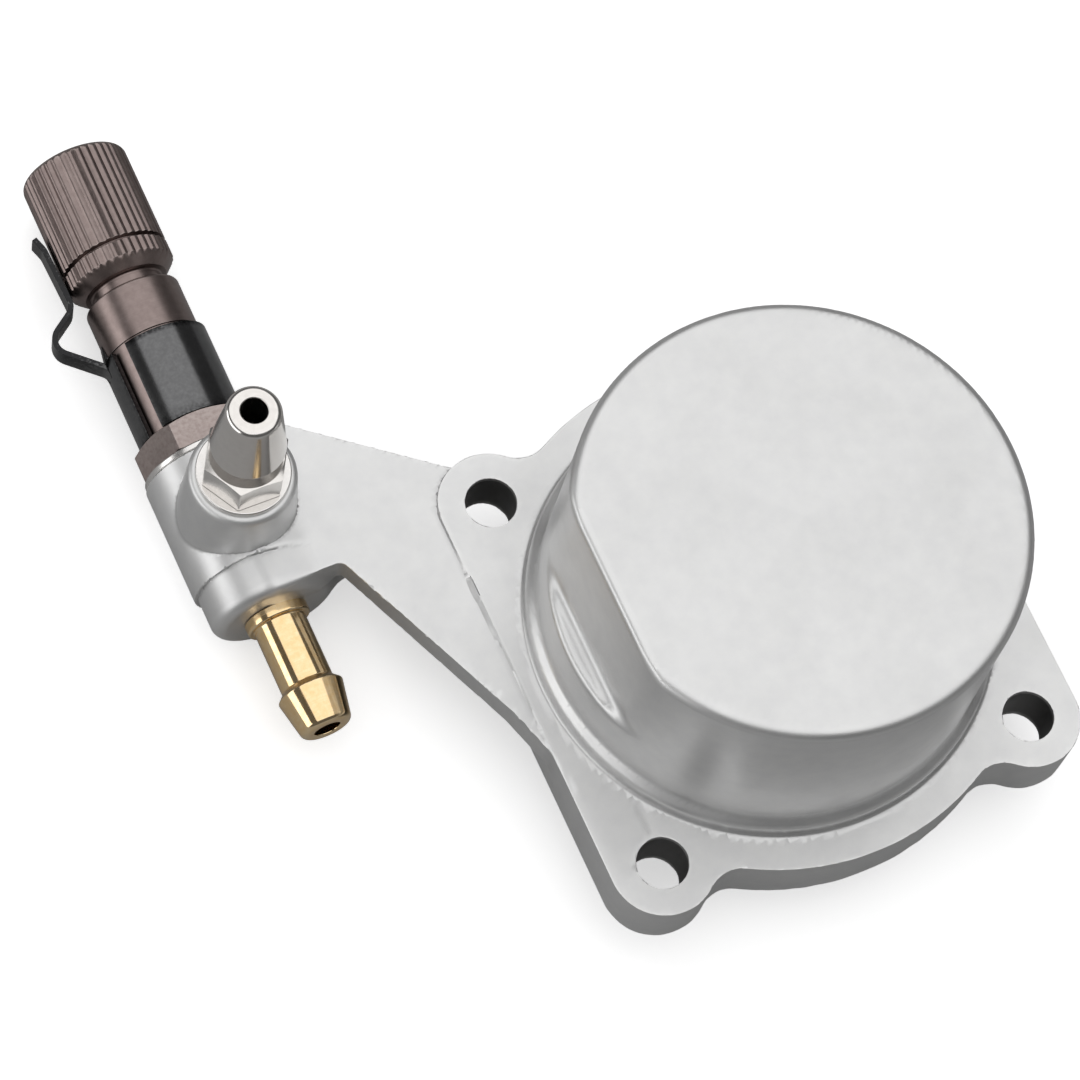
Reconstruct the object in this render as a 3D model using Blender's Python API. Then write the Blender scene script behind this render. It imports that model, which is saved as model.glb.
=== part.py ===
"""Cast rear cover of a small engine, with a remote needle valve on its arm.

The plug's axis is +Z and the needle's axis runs along +Y. Heights are measured from the flange's
machined seat face. The world origin lies on the plug's axis, at its closed face. Lengths are metres.
"""
import math

import bmesh
import bpy
from mathutils import Matrix, Vector

MM = 0.001

# Fits between separate pieces
SEAT_GAP = 0.05 * MM
BORE_GAP = 0.1 * MM
CUT_PAST = 2.0 * MM

# Plug that closes the crankcase
PLUG_HEIGHT = 14.9 * MM
PLUG_TOP_RADIUS = 13.8 * MM
PLUG_BASE_RADIUS = 13.95 * MM
PLUG_EDGE_ROUND = 0.7 * MM
REGISTER_RADIUS = 14.55 * MM
REGISTER_HEIGHT = 1.3 * MM
REGISTER_CHAMFER = 0.35 * MM
FLAT_DISTANCE = 12.55 * MM
FLAT_LEDGE_HEIGHT = 5.7 * MM
FLAT_EDGE_ROUND = 0.5 * MM
FLAT_EDGE_RISE = 0.06 * MM
PLUG_WALL = 1.8 * MM
PLUG_END_WALL = 2.0 * MM
HOLLOW_DRAFT = 0.35 * MM
HOLLOW_FLOOR_ROUND = 1.5 * MM

# Flange with its four ears
FLANGE_THICKNESS = 4.0 * MM
FLANGE_RADIUS = 16.75 * MM
HOLE_PITCH = 25.0 * MM
HOLE_RADIUS = 1.6 * MM
EAR_RADIUS = 3.3 * MM
EAR_FILLET = 2.2 * MM
FLANGE_CHAMFER = 0.25 * MM

# Needle axis and the boss round it, with places along Y
NEEDLE_X = -26.8 * MM
NEEDLE_Z = -4.05 * MM
BOSS_RADIUS = 4.2 * MM
BOSS_TOP_Y = 22.4 * MM
BOSS_STEP_Y = 14.7 * MM
BOSS_END_Y = 12.0 * MM
BOSS_END_RADIUS = 3.95 * MM
BOSS_END_ROUND = 0.8 * MM

# Arm between the flange and the boss
ARM_DROP = 0.3 * MM
ARM_UPPER_ROOT = Vector((-13.2, 15.2)) * MM
ARM_UPPER_END = Vector((-22.2, 22.05)) * MM
ARM_LOWER_CORNER = Vector((-22.5, 12.35)) * MM
ARM_LOWER_ROOT = Vector((-15.3, -3.9)) * MM
ARM_ROOT_ROUND = 20.0 * MM
ARM_CORNER_ROUND = 0.6 * MM
ARM_LIFT = 0.1 * MM
GUSSET_START_X = -21.0 * MM
GUSSET_END_Y = 20.4 * MM
GUSSET_DEPTH = 2.3 * MM

# Inlet pad on top of the boss
INLET_Y = 18.4 * MM
PAD_TOP_Z = 3.95 * MM
PAD_BASE_RADIUS = 3.85 * MM
PAD_TOP_RADIUS = 3.3 * MM
PAD_EDGE_ROUND = 0.4 * MM

# Fuel passages
CHAMBER_RADIUS = 1.6 * MM
HOLDER_SPIGOT_RADIUS = 2.5 * MM
HOLDER_SPIGOT_LENGTH = 3.1 * MM
OUTLET_SPIGOT_RADIUS = 1.75 * MM
OUTLET_SEAT_Y = 15.6 * MM
INLET_SPIGOT_RADIUS = 1.5 * MM
INLET_SPIGOT_LENGTH = 3.2 * MM
INLET_PASSAGE_RADIUS = 0.9 * MM
INLET_PASSAGE_FOOT = 0.5 * MM

# Needle holder, with heights above its hexagon
HOLDER_WASHER_THICKNESS = 0.45 * MM
HOLDER_WASHER_RADIUS = 4.1 * MM
HOLDER_HEX_FLATS = 7.0 * MM
HOLDER_HEX_HEIGHT = 2.0 * MM
TUBE_HEIGHT = 9.85 * MM
TUBE_RADIUS = 3.1 * MM
TUBE_SEAT_RADIUS = 3.0 * MM
TUBE_SEAT_HEIGHT = 6.35 * MM
TUBE_BORE_RADIUS = 2.45 * MM
TUBE_BORE_FLOOR = 0.6 * MM
TUBE_CHAMFER = 0.25 * MM

# Ratchet spring, with its leaf on the -X side of the tube
SPRING_THICKNESS = 0.35 * MM
SPRING_BAND_HEIGHT = 6.1 * MM
SPRING_NOTCH_HEIGHT = 5.7 * MM
SPRING_GAP_ANGLE = math.radians(220.0)
SPRING_GAP_WIDTH = 1.2 * MM
LEAF_ANGLE = math.pi
LEAF_WIDTH = 1.9 * MM
LEAF_NOTCH_RATIO = 1.2
LEAF_ROOT_HEIGHT = 4.5 * MM
LEAF_OUT_BEND = Vector((6.35, 8.45)) * MM
LEAF_IN_BEND = Vector((3.78, 10.35)) * MM
LEAF_LIP_BEND = Vector((3.95, 14.7)) * MM
LEAF_LIP_END = Vector((4.25, 15.6)) * MM
LEAF_BEND_ROUNDS = (0.8 * MM, 1.1 * MM, 1.0 * MM, 1.2 * MM)

# Needle knob, with heights above the holder's hexagon
KNOB_RADIUS = 3.5 * MM
KNOB_LOW = 10.7 * MM
KNOB_TOP = 19.6 * MM
KNOB_LOW_CHAMFER = 0.75 * MM
KNOB_TOP_ROUND = 0.5 * MM
KNOB_GROOVE_HEIGHT = 12.6 * MM
KNOB_GROOVE_WIDTH = 0.3 * MM
KNOB_GROOVE_DEPTH = 0.3 * MM
KNURL_TEETH = 40
KNURL_DEPTH = 0.2 * MM
HUB_RADIUS = 2.3 * MM
HUB_LOW = 3.0 * MM
RING_HEIGHT = 5.4 * MM
RING_GROOVE_RADIUS = 1.75 * MM
RING_GROOVE_WIDTH = 0.9 * MM
RING_SECTION = 0.31 * MM
WIRE_HOLE_RADIUS = 0.85 * MM
WIRE_HOLE_FLOOR = 13.6 * MM
GRUB_HEIGHT = 16.2 * MM
GRUB_ANGLE = math.radians(45.0)
GRUB_RADIUS = 0.7 * MM
GRUB_LENGTH = 1.9 * MM
GRUB_SOCKET_FLATS = 0.7 * MM
GRUB_SOCKET_DEPTH = 0.8 * MM

# Needle stem, with places along Y
SHANK_RADIUS = 1.1 * MM
SHANK_TOP = 9.0 * MM
THREAD_RADIUS = 1.5 * MM
THREAD_END_Y = 20.8 * MM
TAPER_RADIUS = 1.0 * MM
TAPER_START_Y = 17.5 * MM
TAPER_TIP_RADIUS = 0.25 * MM
TAPER_TIP_Y = 12.8 * MM
SEAT_BORE_RADIUS = 0.85 * MM

# Inlet nipple, with heights above its washer
INLET_WASHER_THICKNESS = 0.4 * MM
INLET_WASHER_RADIUS = 2.9 * MM
INLET_HEX_FLATS = 5.0 * MM
INLET_HEX_HEIGHT = 2.4 * MM
INLET_NECK_RADIUS = 1.3 * MM
INLET_NECK_HEIGHT = 3.1 * MM
INLET_BARB_RADIUS = 2.3 * MM
INLET_BARB_HEIGHT = 3.9 * MM
INLET_TIP_RADIUS = 1.7 * MM
INLET_TIP_HEIGHT = 8.75 * MM
INLET_TIP_ROUND = 0.45 * MM
INLET_BORE_RADIUS = 0.87 * MM

# Outlet nipple, with places along Y
OUTLET_COLLAR_RADIUS = 2.05 * MM
OUTLET_COLLAR_LENGTH = 0.7 * MM
OUTLET_NECK_RADIUS = 1.68 * MM
OUTLET_BARB_Y = 6.5 * MM
OUTLET_BARB_RADIUS = 2.12 * MM
OUTLET_BARB_BACK = 0.45 * MM
OUTLET_TIP_RADIUS = 1.62 * MM
OUTLET_TIP_Y = 3.9 * MM
OUTLET_TIP_ROUND = 0.3 * MM

# Facets round a full turn
PLUG_STEPS = 72
BOSS_STEPS = 44
FINE_STEPS = 36
HOLE_STEPS = 20
RING_SECTION_STEPS = 10
OUTLINE_STEP = math.radians(10.0)
EDGE_STEP = math.radians(30.0)

# Places that follow from the sizes above
NEEDLE_ORIGIN = Vector((NEEDLE_X, 0.0, NEEDLE_Z))
HOLDER_SEAT_Y = BOSS_TOP_Y + HOLDER_WASHER_THICKNESS + 2.0 * SEAT_GAP
HEX_TOP_Y = HOLDER_SEAT_Y + HOLDER_HEX_HEIGHT
HOLDER_SPIGOT_Y = BOSS_TOP_Y - HOLDER_SPIGOT_LENGTH
INLET_SEAT_Z = PAD_TOP_Z + INLET_WASHER_THICKNESS + 2.0 * SEAT_GAP
INLET_SPIGOT_Z = PAD_TOP_Z - INLET_SPIGOT_LENGTH
SPRING_INNER = TUBE_SEAT_RADIUS + BORE_GAP
SPRING_OUTER = SPRING_INNER + SPRING_THICKNESS
SPRING_MIDDLE = SPRING_INNER + 0.5 * SPRING_THICKNESS
HEX_CHAMFER_SLOPE = 1.5
SMOOTH_ANGLE = math.radians(35.0)
WELD = 1e-7


def clear_scene():
    """Remove every object that the file starts with."""
    for item in list(bpy.data.objects):
        bpy.data.objects.remove(item, do_unlink=True)


def make_material(name, colour, roughness, metallic):
    """Return a Principled material."""
    material = bpy.data.materials.new(name)
    material.use_nodes = True
    shader = material.node_tree.nodes["Principled BSDF"]
    shader.inputs["Base Color"].default_value = (*colour, 1.0)
    shader.inputs["Roughness"].default_value = roughness
    shader.inputs["Metallic"].default_value = metallic
    return material


def make_datum(name, location, turn=(0.0, 0.0, 0.0), parent=None):
    """Return an empty that places the pieces parented to it."""
    datum = bpy.data.objects.new(name, None)
    datum.location = location
    datum.rotation_euler = turn
    datum.parent = parent
    bpy.context.scene.collection.objects.link(datum)
    return datum


def new_object(name, bm):
    """Turn a bmesh into an object with its faces pointing out."""
    bmesh.ops.remove_doubles(bm, verts=bm.verts[:], dist=WELD)
    bmesh.ops.recalc_face_normals(bm, faces=bm.faces[:])
    mesh = bpy.data.meshes.new(name)
    bm.to_mesh(mesh)
    bm.free()
    item = bpy.data.objects.new(name, mesh)
    bpy.context.scene.collection.objects.link(item)
    return item


def finish(item, material, parent):
    """Dress a piece, shade its round faces smooth and hang it on its datum."""
    item.data.materials.clear()
    item.data.materials.append(material)
    item.data.shade_smooth()
    item.data.set_sharp_from_angle(angle=SMOOTH_ANGLE)
    item.parent = parent
    return item


def combine(body, tools, operation):
    """Apply one Boolean for each tool to body, and remove the tools."""
    for tool in tools:
        step = body.modifiers.new(operation.lower(), "BOOLEAN")
        step.operation = operation
        step.solver = "EXACT"
        step.object = tool
        tool.hide_render = True
        tool.display_type = "WIRE"
        bpy.context.view_layer.update()
        evaluated = body.evaluated_get(bpy.context.evaluated_depsgraph_get())
        shaped = bpy.data.meshes.new_from_object(evaluated)
        body.modifiers.remove(step)
        body.data = shaped
        bpy.data.objects.remove(tool, do_unlink=True)
    return body


def arc(centre, radius, start, end, step=EDGE_STEP):
    """Return points on an arc, both ends included, no further apart than step."""
    count = max(2, math.ceil(abs(end - start) / step))
    middle = Vector((centre[0], centre[1]))
    angles = [start + (end - start) * index / count for index in range(count + 1)]
    return [middle + radius * Vector((math.cos(angle), math.sin(angle))) for angle in angles]


def top_rounding(radius, height, size):
    """Return profile points from a top face round its outer edge to the side."""
    points = arc((radius - size, height - size), size, 0.5 * math.pi, 0.0)
    return [tuple(point) for point in points]


def foot_rounding(radius, height, size):
    """Return profile points from the side round the lower outer edge to the end face."""
    points = arc((radius - size, height + size), size, 0.0, -0.5 * math.pi)
    return [tuple(point) for point in points]


def round_corner(before, corner, after, radius):
    """Return the arc that rounds a corner between two straight runs."""
    back = (Vector(before) - Vector(corner)).normalized()
    ahead = (Vector(after) - Vector(corner)).normalized()
    half = 0.5 * back.angle(ahead)
    centre = Vector(corner) + (back + ahead).normalized() * (radius / math.sin(half))
    first = Vector(corner) + back * (radius / math.tan(half)) - centre
    last = Vector(corner) + ahead * (radius / math.tan(half)) - centre
    start = math.atan2(first.y, first.x)
    sweep = math.atan2(first.x * last.y - first.y * last.x, first.dot(last))
    return arc(centre, radius, start, start + sweep, OUTLINE_STEP)


def turned(name, profile, steps):
    """Spin a closed or axis-to-axis profile of (radius, height) points about Z."""
    bm = bmesh.new()
    points = [bm.verts.new((radius, 0.0, height)) for radius, height in profile]
    edges = [bm.edges.new(pair) for pair in zip(points, points[1:])]
    if profile[0][0] > 0.0:
        edges.append(bm.edges.new((points[-1], points[0])))
    bmesh.ops.spin(
        bm, geom=points + edges, cent=(0.0, 0.0, 0.0), axis=(0.0, 0.0, 1.0),
        angle=2.0 * math.pi, steps=steps, use_merge=True, use_duplicate=False,
    )
    bmesh.ops.remove_doubles(bm, verts=bm.verts[:], dist=WELD)
    poles = [point for point in bm.verts if math.hypot(point.co.x, point.co.y) < WELD]
    bmesh.ops.dissolve_verts(bm, verts=poles)
    return new_object(name, bm)


def prism(name, outline, low, high):
    """Extrude an outline of (x, y) points from one height to another."""
    bm = bmesh.new()
    base = bm.faces.new([bm.verts.new((x, y, low)) for x, y in outline])
    grown = bmesh.ops.extrude_face_region(bm, geom=[base])
    lifted = [item for item in grown["geom"] if isinstance(item, bmesh.types.BMVert)]
    bmesh.ops.translate(bm, verts=lifted, vec=(0.0, 0.0, high - low))
    return new_object(name, bm)


def layered_prism(name, layers):
    """Join outlines with equal point counts, given as (height, outline) from low to high."""
    bm = bmesh.new()
    rings = [[bm.verts.new((x, y, height)) for x, y in outline] for height, outline in layers]
    for low, high in zip(rings, rings[1:]):
        for index, corner in enumerate(low):
            following = (index + 1) % len(low)
            bm.faces.new((corner, low[following], high[following], high[index]))
    bm.faces.new(rings[0])
    bm.faces.new(rings[-1])
    return new_object(name, bm)


def hexagon(flats):
    """Return the corners of a hexagon with the given size across its flats."""
    radius = flats / math.sqrt(3.0)
    angles = [index * math.pi / 3.0 for index in range(6)]
    return [(radius * math.cos(angle), radius * math.sin(angle)) for angle in angles]


def chamfered_hexagon(name, flats, low, high):
    """Return a hexagon prism whose corners are turned off at its top."""
    corner = flats / math.sqrt(3.0)
    trim = 0.5 * (corner - 0.5 * flats)
    limit = [
        (0.0, high), (0.5 * flats, high), (corner + trim, high - HEX_CHAMFER_SLOPE * trim),
        (corner + trim, low - trim), (0.0, low - trim),
    ]
    body = prism(name, hexagon(flats), low, high)
    return combine(body, [turned("hexagon_limit", limit, FINE_STEPS)], "INTERSECT")


def flange_outline(inset):
    """Return the flange's outline, drawn in by inset all the way round."""
    ring = FLANGE_RADIUS - inset
    ear = EAR_RADIUS - inset
    fillet = EAR_FILLET + inset
    reach = 0.5 * HOLE_PITCH * math.sqrt(2.0)
    ring_side = ring + fillet
    ear_side = ear + fillet
    lean = math.acos((ring_side ** 2 + reach ** 2 - ear_side ** 2) / (2.0 * ring_side * reach))
    bearing = 0.25 * math.pi + lean
    ear_centre = Vector((0.5, 0.5)) * HOLE_PITCH
    fillet_centre = Vector((math.cos(bearing), math.sin(bearing))) * ring_side
    offset = fillet_centre - ear_centre
    contact = math.atan2(offset.y, offset.x)
    quarter = arc(ear_centre, ear, 0.0, contact, OUTLINE_STEP)
    quarter += arc(fillet_centre, fillet, contact - math.pi, bearing - math.pi, OUTLINE_STEP)[1:]
    quarter += arc((0.0, 0.0), ring, bearing, 0.5 * math.pi, 0.5 * OUTLINE_STEP)[1:]
    half = quarter + [Vector((-point.x, point.y)) for point in reversed(quarter[:-1])]
    return half + [Vector((-point.x, -point.y)) for point in half]


def make_flange():
    """Return the four-ear flange between its two faces."""
    return layered_prism("flange", [
        (-FLANGE_THICKNESS, flange_outline(FLANGE_CHAMFER)),
        (-FLANGE_THICKNESS + FLANGE_CHAMFER, flange_outline(0.0)),
        (-FLANGE_CHAMFER, flange_outline(0.0)),
        (0.0, flange_outline(FLANGE_CHAMFER)),
    ])


def make_plug():
    """Return the plug with its register, rounded edge and side flat."""
    profile = [(0.0, PLUG_HEIGHT)] + top_rounding(PLUG_TOP_RADIUS, PLUG_HEIGHT, PLUG_EDGE_ROUND) + [
        (PLUG_BASE_RADIUS, REGISTER_HEIGHT),
        (REGISTER_RADIUS - REGISTER_CHAMFER, REGISTER_HEIGHT),
        (REGISTER_RADIUS, REGISTER_HEIGHT - REGISTER_CHAMFER),
        (REGISTER_RADIUS, -0.5 * FLANGE_THICKNESS),
        (0.0, -0.5 * FLANGE_THICKNESS),
    ]
    plug = turned("plug", profile, PLUG_STEPS)
    return combine(plug, [make_flat_cutter()], "DIFFERENCE")


def make_flat_cutter():
    """Return the tool for the plug's side flat, with a rounded top edge and a ledge at its foot."""
    above = PLUG_HEIGHT + CUT_PAST
    outside = -PLUG_BASE_RADIUS - CUT_PAST
    edge_x = -FLAT_DISTANCE + FLAT_EDGE_ROUND
    edge_z = PLUG_HEIGHT - FLAT_EDGE_ROUND + FLAT_EDGE_RISE
    side = [(outside, FLAT_LEDGE_HEIGHT), (-FLAT_DISTANCE, FLAT_LEDGE_HEIGHT)]
    side += arc((edge_x, edge_z), FLAT_EDGE_ROUND, math.pi, 0.5 * math.pi)
    side += [(edge_x, above), (outside, above)]
    cutter = prism("flat_cutter", side, -PLUG_TOP_RADIUS, PLUG_TOP_RADIUS)
    cutter.data.transform(Matrix.Rotation(0.5 * math.pi, 4, "X"))
    return cutter


def make_hollow():
    """Return the tool for the hollow behind the plug, which follows the side flat."""
    mouth = PLUG_TOP_RADIUS - PLUG_WALL + HOLLOW_DRAFT
    deep = PLUG_TOP_RADIUS - PLUG_WALL - HOLLOW_DRAFT
    floor = PLUG_HEIGHT - PLUG_END_WALL
    below = -FLANGE_THICKNESS - CUT_PAST
    profile = [(0.0, floor)] + top_rounding(deep, floor, HOLLOW_FLOOR_ROUND)
    profile += [(mouth, below), (0.0, below)]
    hollow = turned("hollow", profile, PLUG_STEPS)
    wall = -FLAT_DISTANCE + PLUG_WALL
    outside = -PLUG_BASE_RADIUS - CUT_PAST
    side = [
        (outside, FLAT_LEDGE_HEIGHT - PLUG_WALL), (wall, FLAT_LEDGE_HEIGHT - PLUG_WALL),
        (wall, PLUG_HEIGHT), (outside, PLUG_HEIGHT),
    ]
    keep = prism("hollow_flat", side, -PLUG_TOP_RADIUS, PLUG_TOP_RADIUS)
    keep.data.transform(Matrix.Rotation(0.5 * math.pi, 4, "X"))
    return combine(hollow, [keep], "DIFFERENCE")


def make_arm():
    """Return the flat arm from the flange to the needle boss."""
    anchor = Vector((-0.5 * HOLE_PITCH, ARM_UPPER_ROOT.y))
    foot = Vector((ARM_LOWER_ROOT.x, -0.5 * HOLE_PITCH))
    outline = [anchor, ARM_UPPER_ROOT, ARM_UPPER_END]
    outline += [Vector((NEEDLE_X, ARM_UPPER_END.y)), Vector((NEEDLE_X, ARM_LOWER_CORNER.y))]
    outline += round_corner(outline[-1], ARM_LOWER_CORNER, ARM_LOWER_ROOT, ARM_CORNER_ROUND)
    outline += round_corner(ARM_LOWER_CORNER, ARM_LOWER_ROOT, foot, ARM_ROOT_ROUND)
    outline += [Vector((-0.5 * HOLE_PITCH, outline[-1].y))]
    return prism("arm", outline, -FLANGE_THICKNESS + ARM_LIFT, -ARM_DROP)


def make_gusset():
    """Return the wedge that thickens the arm's underside towards the boss."""
    low = -FLANGE_THICKNESS - GUSSET_DEPTH
    side = [
        (GUSSET_START_X, -FLANGE_THICKNESS + 2.0 * ARM_LIFT), (GUSSET_START_X, -2.0 * ARM_DROP),
        (NEEDLE_X, -2.0 * ARM_DROP), (NEEDLE_X, low), (NEEDLE_X + 0.5 * BOSS_RADIUS, low),
    ]
    wedge = prism("gusset", side, -GUSSET_END_Y, -ARM_LOWER_CORNER.y - ARM_DROP)
    wedge.data.transform(Matrix.Rotation(0.5 * math.pi, 4, "X"))
    return wedge


def make_boss():
    """Return the needle boss, lying along Y, with its stepped and rounded outlet end."""
    profile = [(0.0, BOSS_TOP_Y), (BOSS_RADIUS, BOSS_TOP_Y), (BOSS_RADIUS, BOSS_STEP_Y)]
    profile += [(BOSS_END_RADIUS, BOSS_STEP_Y)]
    profile += foot_rounding(BOSS_END_RADIUS, BOSS_END_Y, BOSS_END_ROUND) + [(0.0, BOSS_END_Y)]
    return along_needle(turned("boss", profile, BOSS_STEPS))


def make_pad():
    """Return the tapered pad that carries the inlet nipple."""
    profile = [(0.0, PAD_TOP_Z)] + top_rounding(PAD_TOP_RADIUS, PAD_TOP_Z, PAD_EDGE_ROUND)
    profile += [(PAD_BASE_RADIUS, NEEDLE_Z + ARM_DROP), (0.0, NEEDLE_Z + ARM_DROP)]
    return over_inlet(turned("pad", profile, BOSS_STEPS))


def along_needle(item):
    """Move a shape turned about Z onto the needle's axis, with its heights along Y."""
    item.data.transform(Matrix.Translation(NEEDLE_ORIGIN) @ Matrix.Rotation(-0.5 * math.pi, 4, "X"))
    return item


def over_inlet(item):
    """Move a shape turned about Z onto the inlet's axis."""
    item.data.transform(Matrix.Translation((NEEDLE_X, INLET_Y, 0.0)))
    return item


def make_needle_bore():
    """Return the tool for the stepped bore along the needle: holder, chamber and outlet."""
    top = BOSS_TOP_Y + CUT_PAST
    bottom = BOSS_END_Y - CUT_PAST
    holder = HOLDER_SPIGOT_RADIUS + BORE_GAP
    outlet = OUTLET_SPIGOT_RADIUS + BORE_GAP
    profile = [
        (0.0, top), (holder, top), (holder, HOLDER_SPIGOT_Y - SEAT_GAP),
        (CHAMBER_RADIUS, HOLDER_SPIGOT_Y - SEAT_GAP), (CHAMBER_RADIUS, OUTLET_SEAT_Y + SEAT_GAP),
        (outlet, OUTLET_SEAT_Y + SEAT_GAP), (outlet, bottom), (0.0, bottom),
    ]
    return along_needle(turned("needle_bore", profile, FINE_STEPS))


def make_inlet_bore():
    """Return the tool for the inlet's thread hole and the passage down to the chamber."""
    top = PAD_TOP_Z + CUT_PAST
    foot = NEEDLE_Z + INLET_PASSAGE_FOOT
    thread = INLET_SPIGOT_RADIUS + BORE_GAP
    profile = [
        (0.0, top), (thread, top), (thread, INLET_SPIGOT_Z - SEAT_GAP),
        (INLET_PASSAGE_RADIUS, INLET_SPIGOT_Z - SEAT_GAP), (INLET_PASSAGE_RADIUS, foot), (0.0, foot),
    ]
    return over_inlet(turned("inlet_bore", profile, HOLE_STEPS))


def make_bolt_holes():
    """Return one tool for each of the four screw holes."""
    low = -FLANGE_THICKNESS - CUT_PAST
    profile = [(0.0, CUT_PAST), (HOLE_RADIUS, CUT_PAST), (HOLE_RADIUS, low), (0.0, low)]
    tools = []
    for side_x in (-0.5, 0.5):
        for side_y in (-0.5, 0.5):
            tool = turned("bolt_hole", profile, HOLE_STEPS)
            tool.data.transform(Matrix.Translation((side_x * HOLE_PITCH, side_y * HOLE_PITCH, 0.0)))
            tools.append(tool)
    return tools


def make_rear_cover():
    """Return the one-piece casting with all its holes."""
    cover = make_flange()
    cover.name = "rear_cover"
    combine(cover, [make_plug(), make_arm(), make_boss(), make_gusset(), make_pad()], "UNION")
    combine(cover, [make_hollow(), make_needle_bore(), make_inlet_bore()], "DIFFERENCE")
    return combine(cover, make_bolt_holes(), "DIFFERENCE")


def make_holder_washer():
    """Return the bright ring under the holder's hexagon."""
    low = BOSS_TOP_Y + SEAT_GAP
    high = low + HOLDER_WASHER_THICKNESS
    inner = HOLDER_SPIGOT_RADIUS + BORE_GAP
    return turned("holder_washer", [
        (inner, high), (HOLDER_WASHER_RADIUS, high), (HOLDER_WASHER_RADIUS, low), (inner, low),
    ], FINE_STEPS)


def make_needle_holder():
    """Return the holder: threaded spigot, hexagon, and tube with a seat for the spring."""
    tube_top = HEX_TOP_Y + TUBE_HEIGHT
    seat_top = HEX_TOP_Y + TUBE_SEAT_HEIGHT
    floor = HEX_TOP_Y + TUBE_BORE_FLOOR
    thread_bore = THREAD_RADIUS + BORE_GAP
    profile = [
        (thread_bore, HOLDER_SPIGOT_Y), (thread_bore, floor), (TUBE_BORE_RADIUS, floor),
        (TUBE_BORE_RADIUS, tube_top - TUBE_CHAMFER), (TUBE_BORE_RADIUS + TUBE_CHAMFER, tube_top),
        (TUBE_RADIUS - TUBE_CHAMFER, tube_top), (TUBE_RADIUS, tube_top - TUBE_CHAMFER),
        (TUBE_RADIUS, seat_top), (TUBE_SEAT_RADIUS, seat_top), (TUBE_SEAT_RADIUS, HOLDER_SEAT_Y),
        (HOLDER_SPIGOT_RADIUS, HOLDER_SEAT_Y), (HOLDER_SPIGOT_RADIUS, HOLDER_SPIGOT_Y),
    ]
    body = turned("needle_holder", profile, FINE_STEPS)
    hexagon_piece = chamfered_hexagon("holder_hexagon", HOLDER_HEX_FLATS, HOLDER_SEAT_Y, HEX_TOP_Y)
    middle = 0.5 * (TUBE_SEAT_RADIUS + thread_bore)
    clearance = [
        (0.0, HEX_TOP_Y + SEAT_GAP), (middle, HEX_TOP_Y + SEAT_GAP), (middle, HOLDER_SPIGOT_Y),
        (0.0, HOLDER_SPIGOT_Y),
    ]
    combine(hexagon_piece, [turned("hexagon_bore", clearance, FINE_STEPS)], "DIFFERENCE")
    return combine(body, [hexagon_piece], "UNION")


def make_ratchet_spring():
    """Return the spring clip: an open band, notched where its leaf bends out."""
    half_gap = 0.5 * SPRING_GAP_WIDTH / SPRING_MIDDLE
    half_notch = 0.5 * LEAF_NOTCH_RATIO * LEAF_WIDTH / SPRING_MIDDLE
    low = HEX_TOP_Y + SEAT_GAP
    high = HEX_TOP_Y + SPRING_BAND_HEIGHT
    turn_end = SPRING_GAP_ANGLE - half_gap
    turn_start = SPRING_GAP_ANGLE + half_gap - 2.0 * math.pi
    notch_top = HEX_TOP_Y + SPRING_NOTCH_HEIGHT
    whole = band_sector("ratchet_spring", turn_start, turn_end, low, notch_top)
    rear = band_sector("band_rear", turn_start, LEAF_ANGLE - half_notch, low, high)
    side = band_sector("band_side", LEAF_ANGLE + half_notch, turn_end, low, high)
    return combine(whole, [rear, side, make_leaf()], "UNION")


def band_sector(name, start, end, low, high):
    """Spin the band's section through part of a turn and close both ends."""
    bm = bmesh.new()
    section = [(SPRING_INNER, low), (SPRING_OUTER, low), (SPRING_OUTER, high), (SPRING_INNER, high)]
    face = bm.faces.new([bm.verts.new((radius, 0.0, height)) for radius, height in section])
    bmesh.ops.rotate(bm, verts=bm.verts[:], cent=(0.0, 0.0, 0.0), matrix=Matrix.Rotation(start, 3, "Z"))
    steps = max(1, round((end - start) / (2.0 * math.pi) * BOSS_STEPS))
    bmesh.ops.spin(
        bm, geom=[face], cent=(0.0, 0.0, 0.0), axis=(0.0, 0.0, 1.0), angle=end - start, steps=steps,
    )
    return new_object(name, bm)


def leaf_path():
    """Return the leaf's middle line as (radius, height) points, with every bend rounded."""
    root = Vector((SPRING_MIDDLE, LEAF_ROOT_HEIGHT))
    first_bend = Vector((SPRING_MIDDLE, SPRING_NOTCH_HEIGHT))
    corners = [root, first_bend, LEAF_OUT_BEND, LEAF_IN_BEND, LEAF_LIP_BEND, LEAF_LIP_END]
    path = [root]
    for before, corner, after, radius in zip(corners, corners[1:], corners[2:], LEAF_BEND_ROUNDS):
        path += round_corner(before, corner, after, radius)
    return path + [LEAF_LIP_END]


def make_leaf():
    """Return the bent leaf as a strip of even thickness on the -X side."""
    path = leaf_path()
    left, right = [], []
    for index, point in enumerate(path):
        before = path[max(0, index - 1)]
        after = path[min(len(path) - 1, index + 1)]
        along = (after - before).normalized()
        across = Vector((-along.y, along.x)) * (0.5 * SPRING_THICKNESS)
        left.append(point + across)
        right.append(point - across)
    outline = [(-point.x, point.y + HEX_TOP_Y) for point in left + right[::-1]]
    leaf = prism("leaf", outline, -0.5 * LEAF_WIDTH, 0.5 * LEAF_WIDTH)
    leaf.data.transform(Matrix.Rotation(0.5 * math.pi, 4, "X"))
    return leaf


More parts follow.
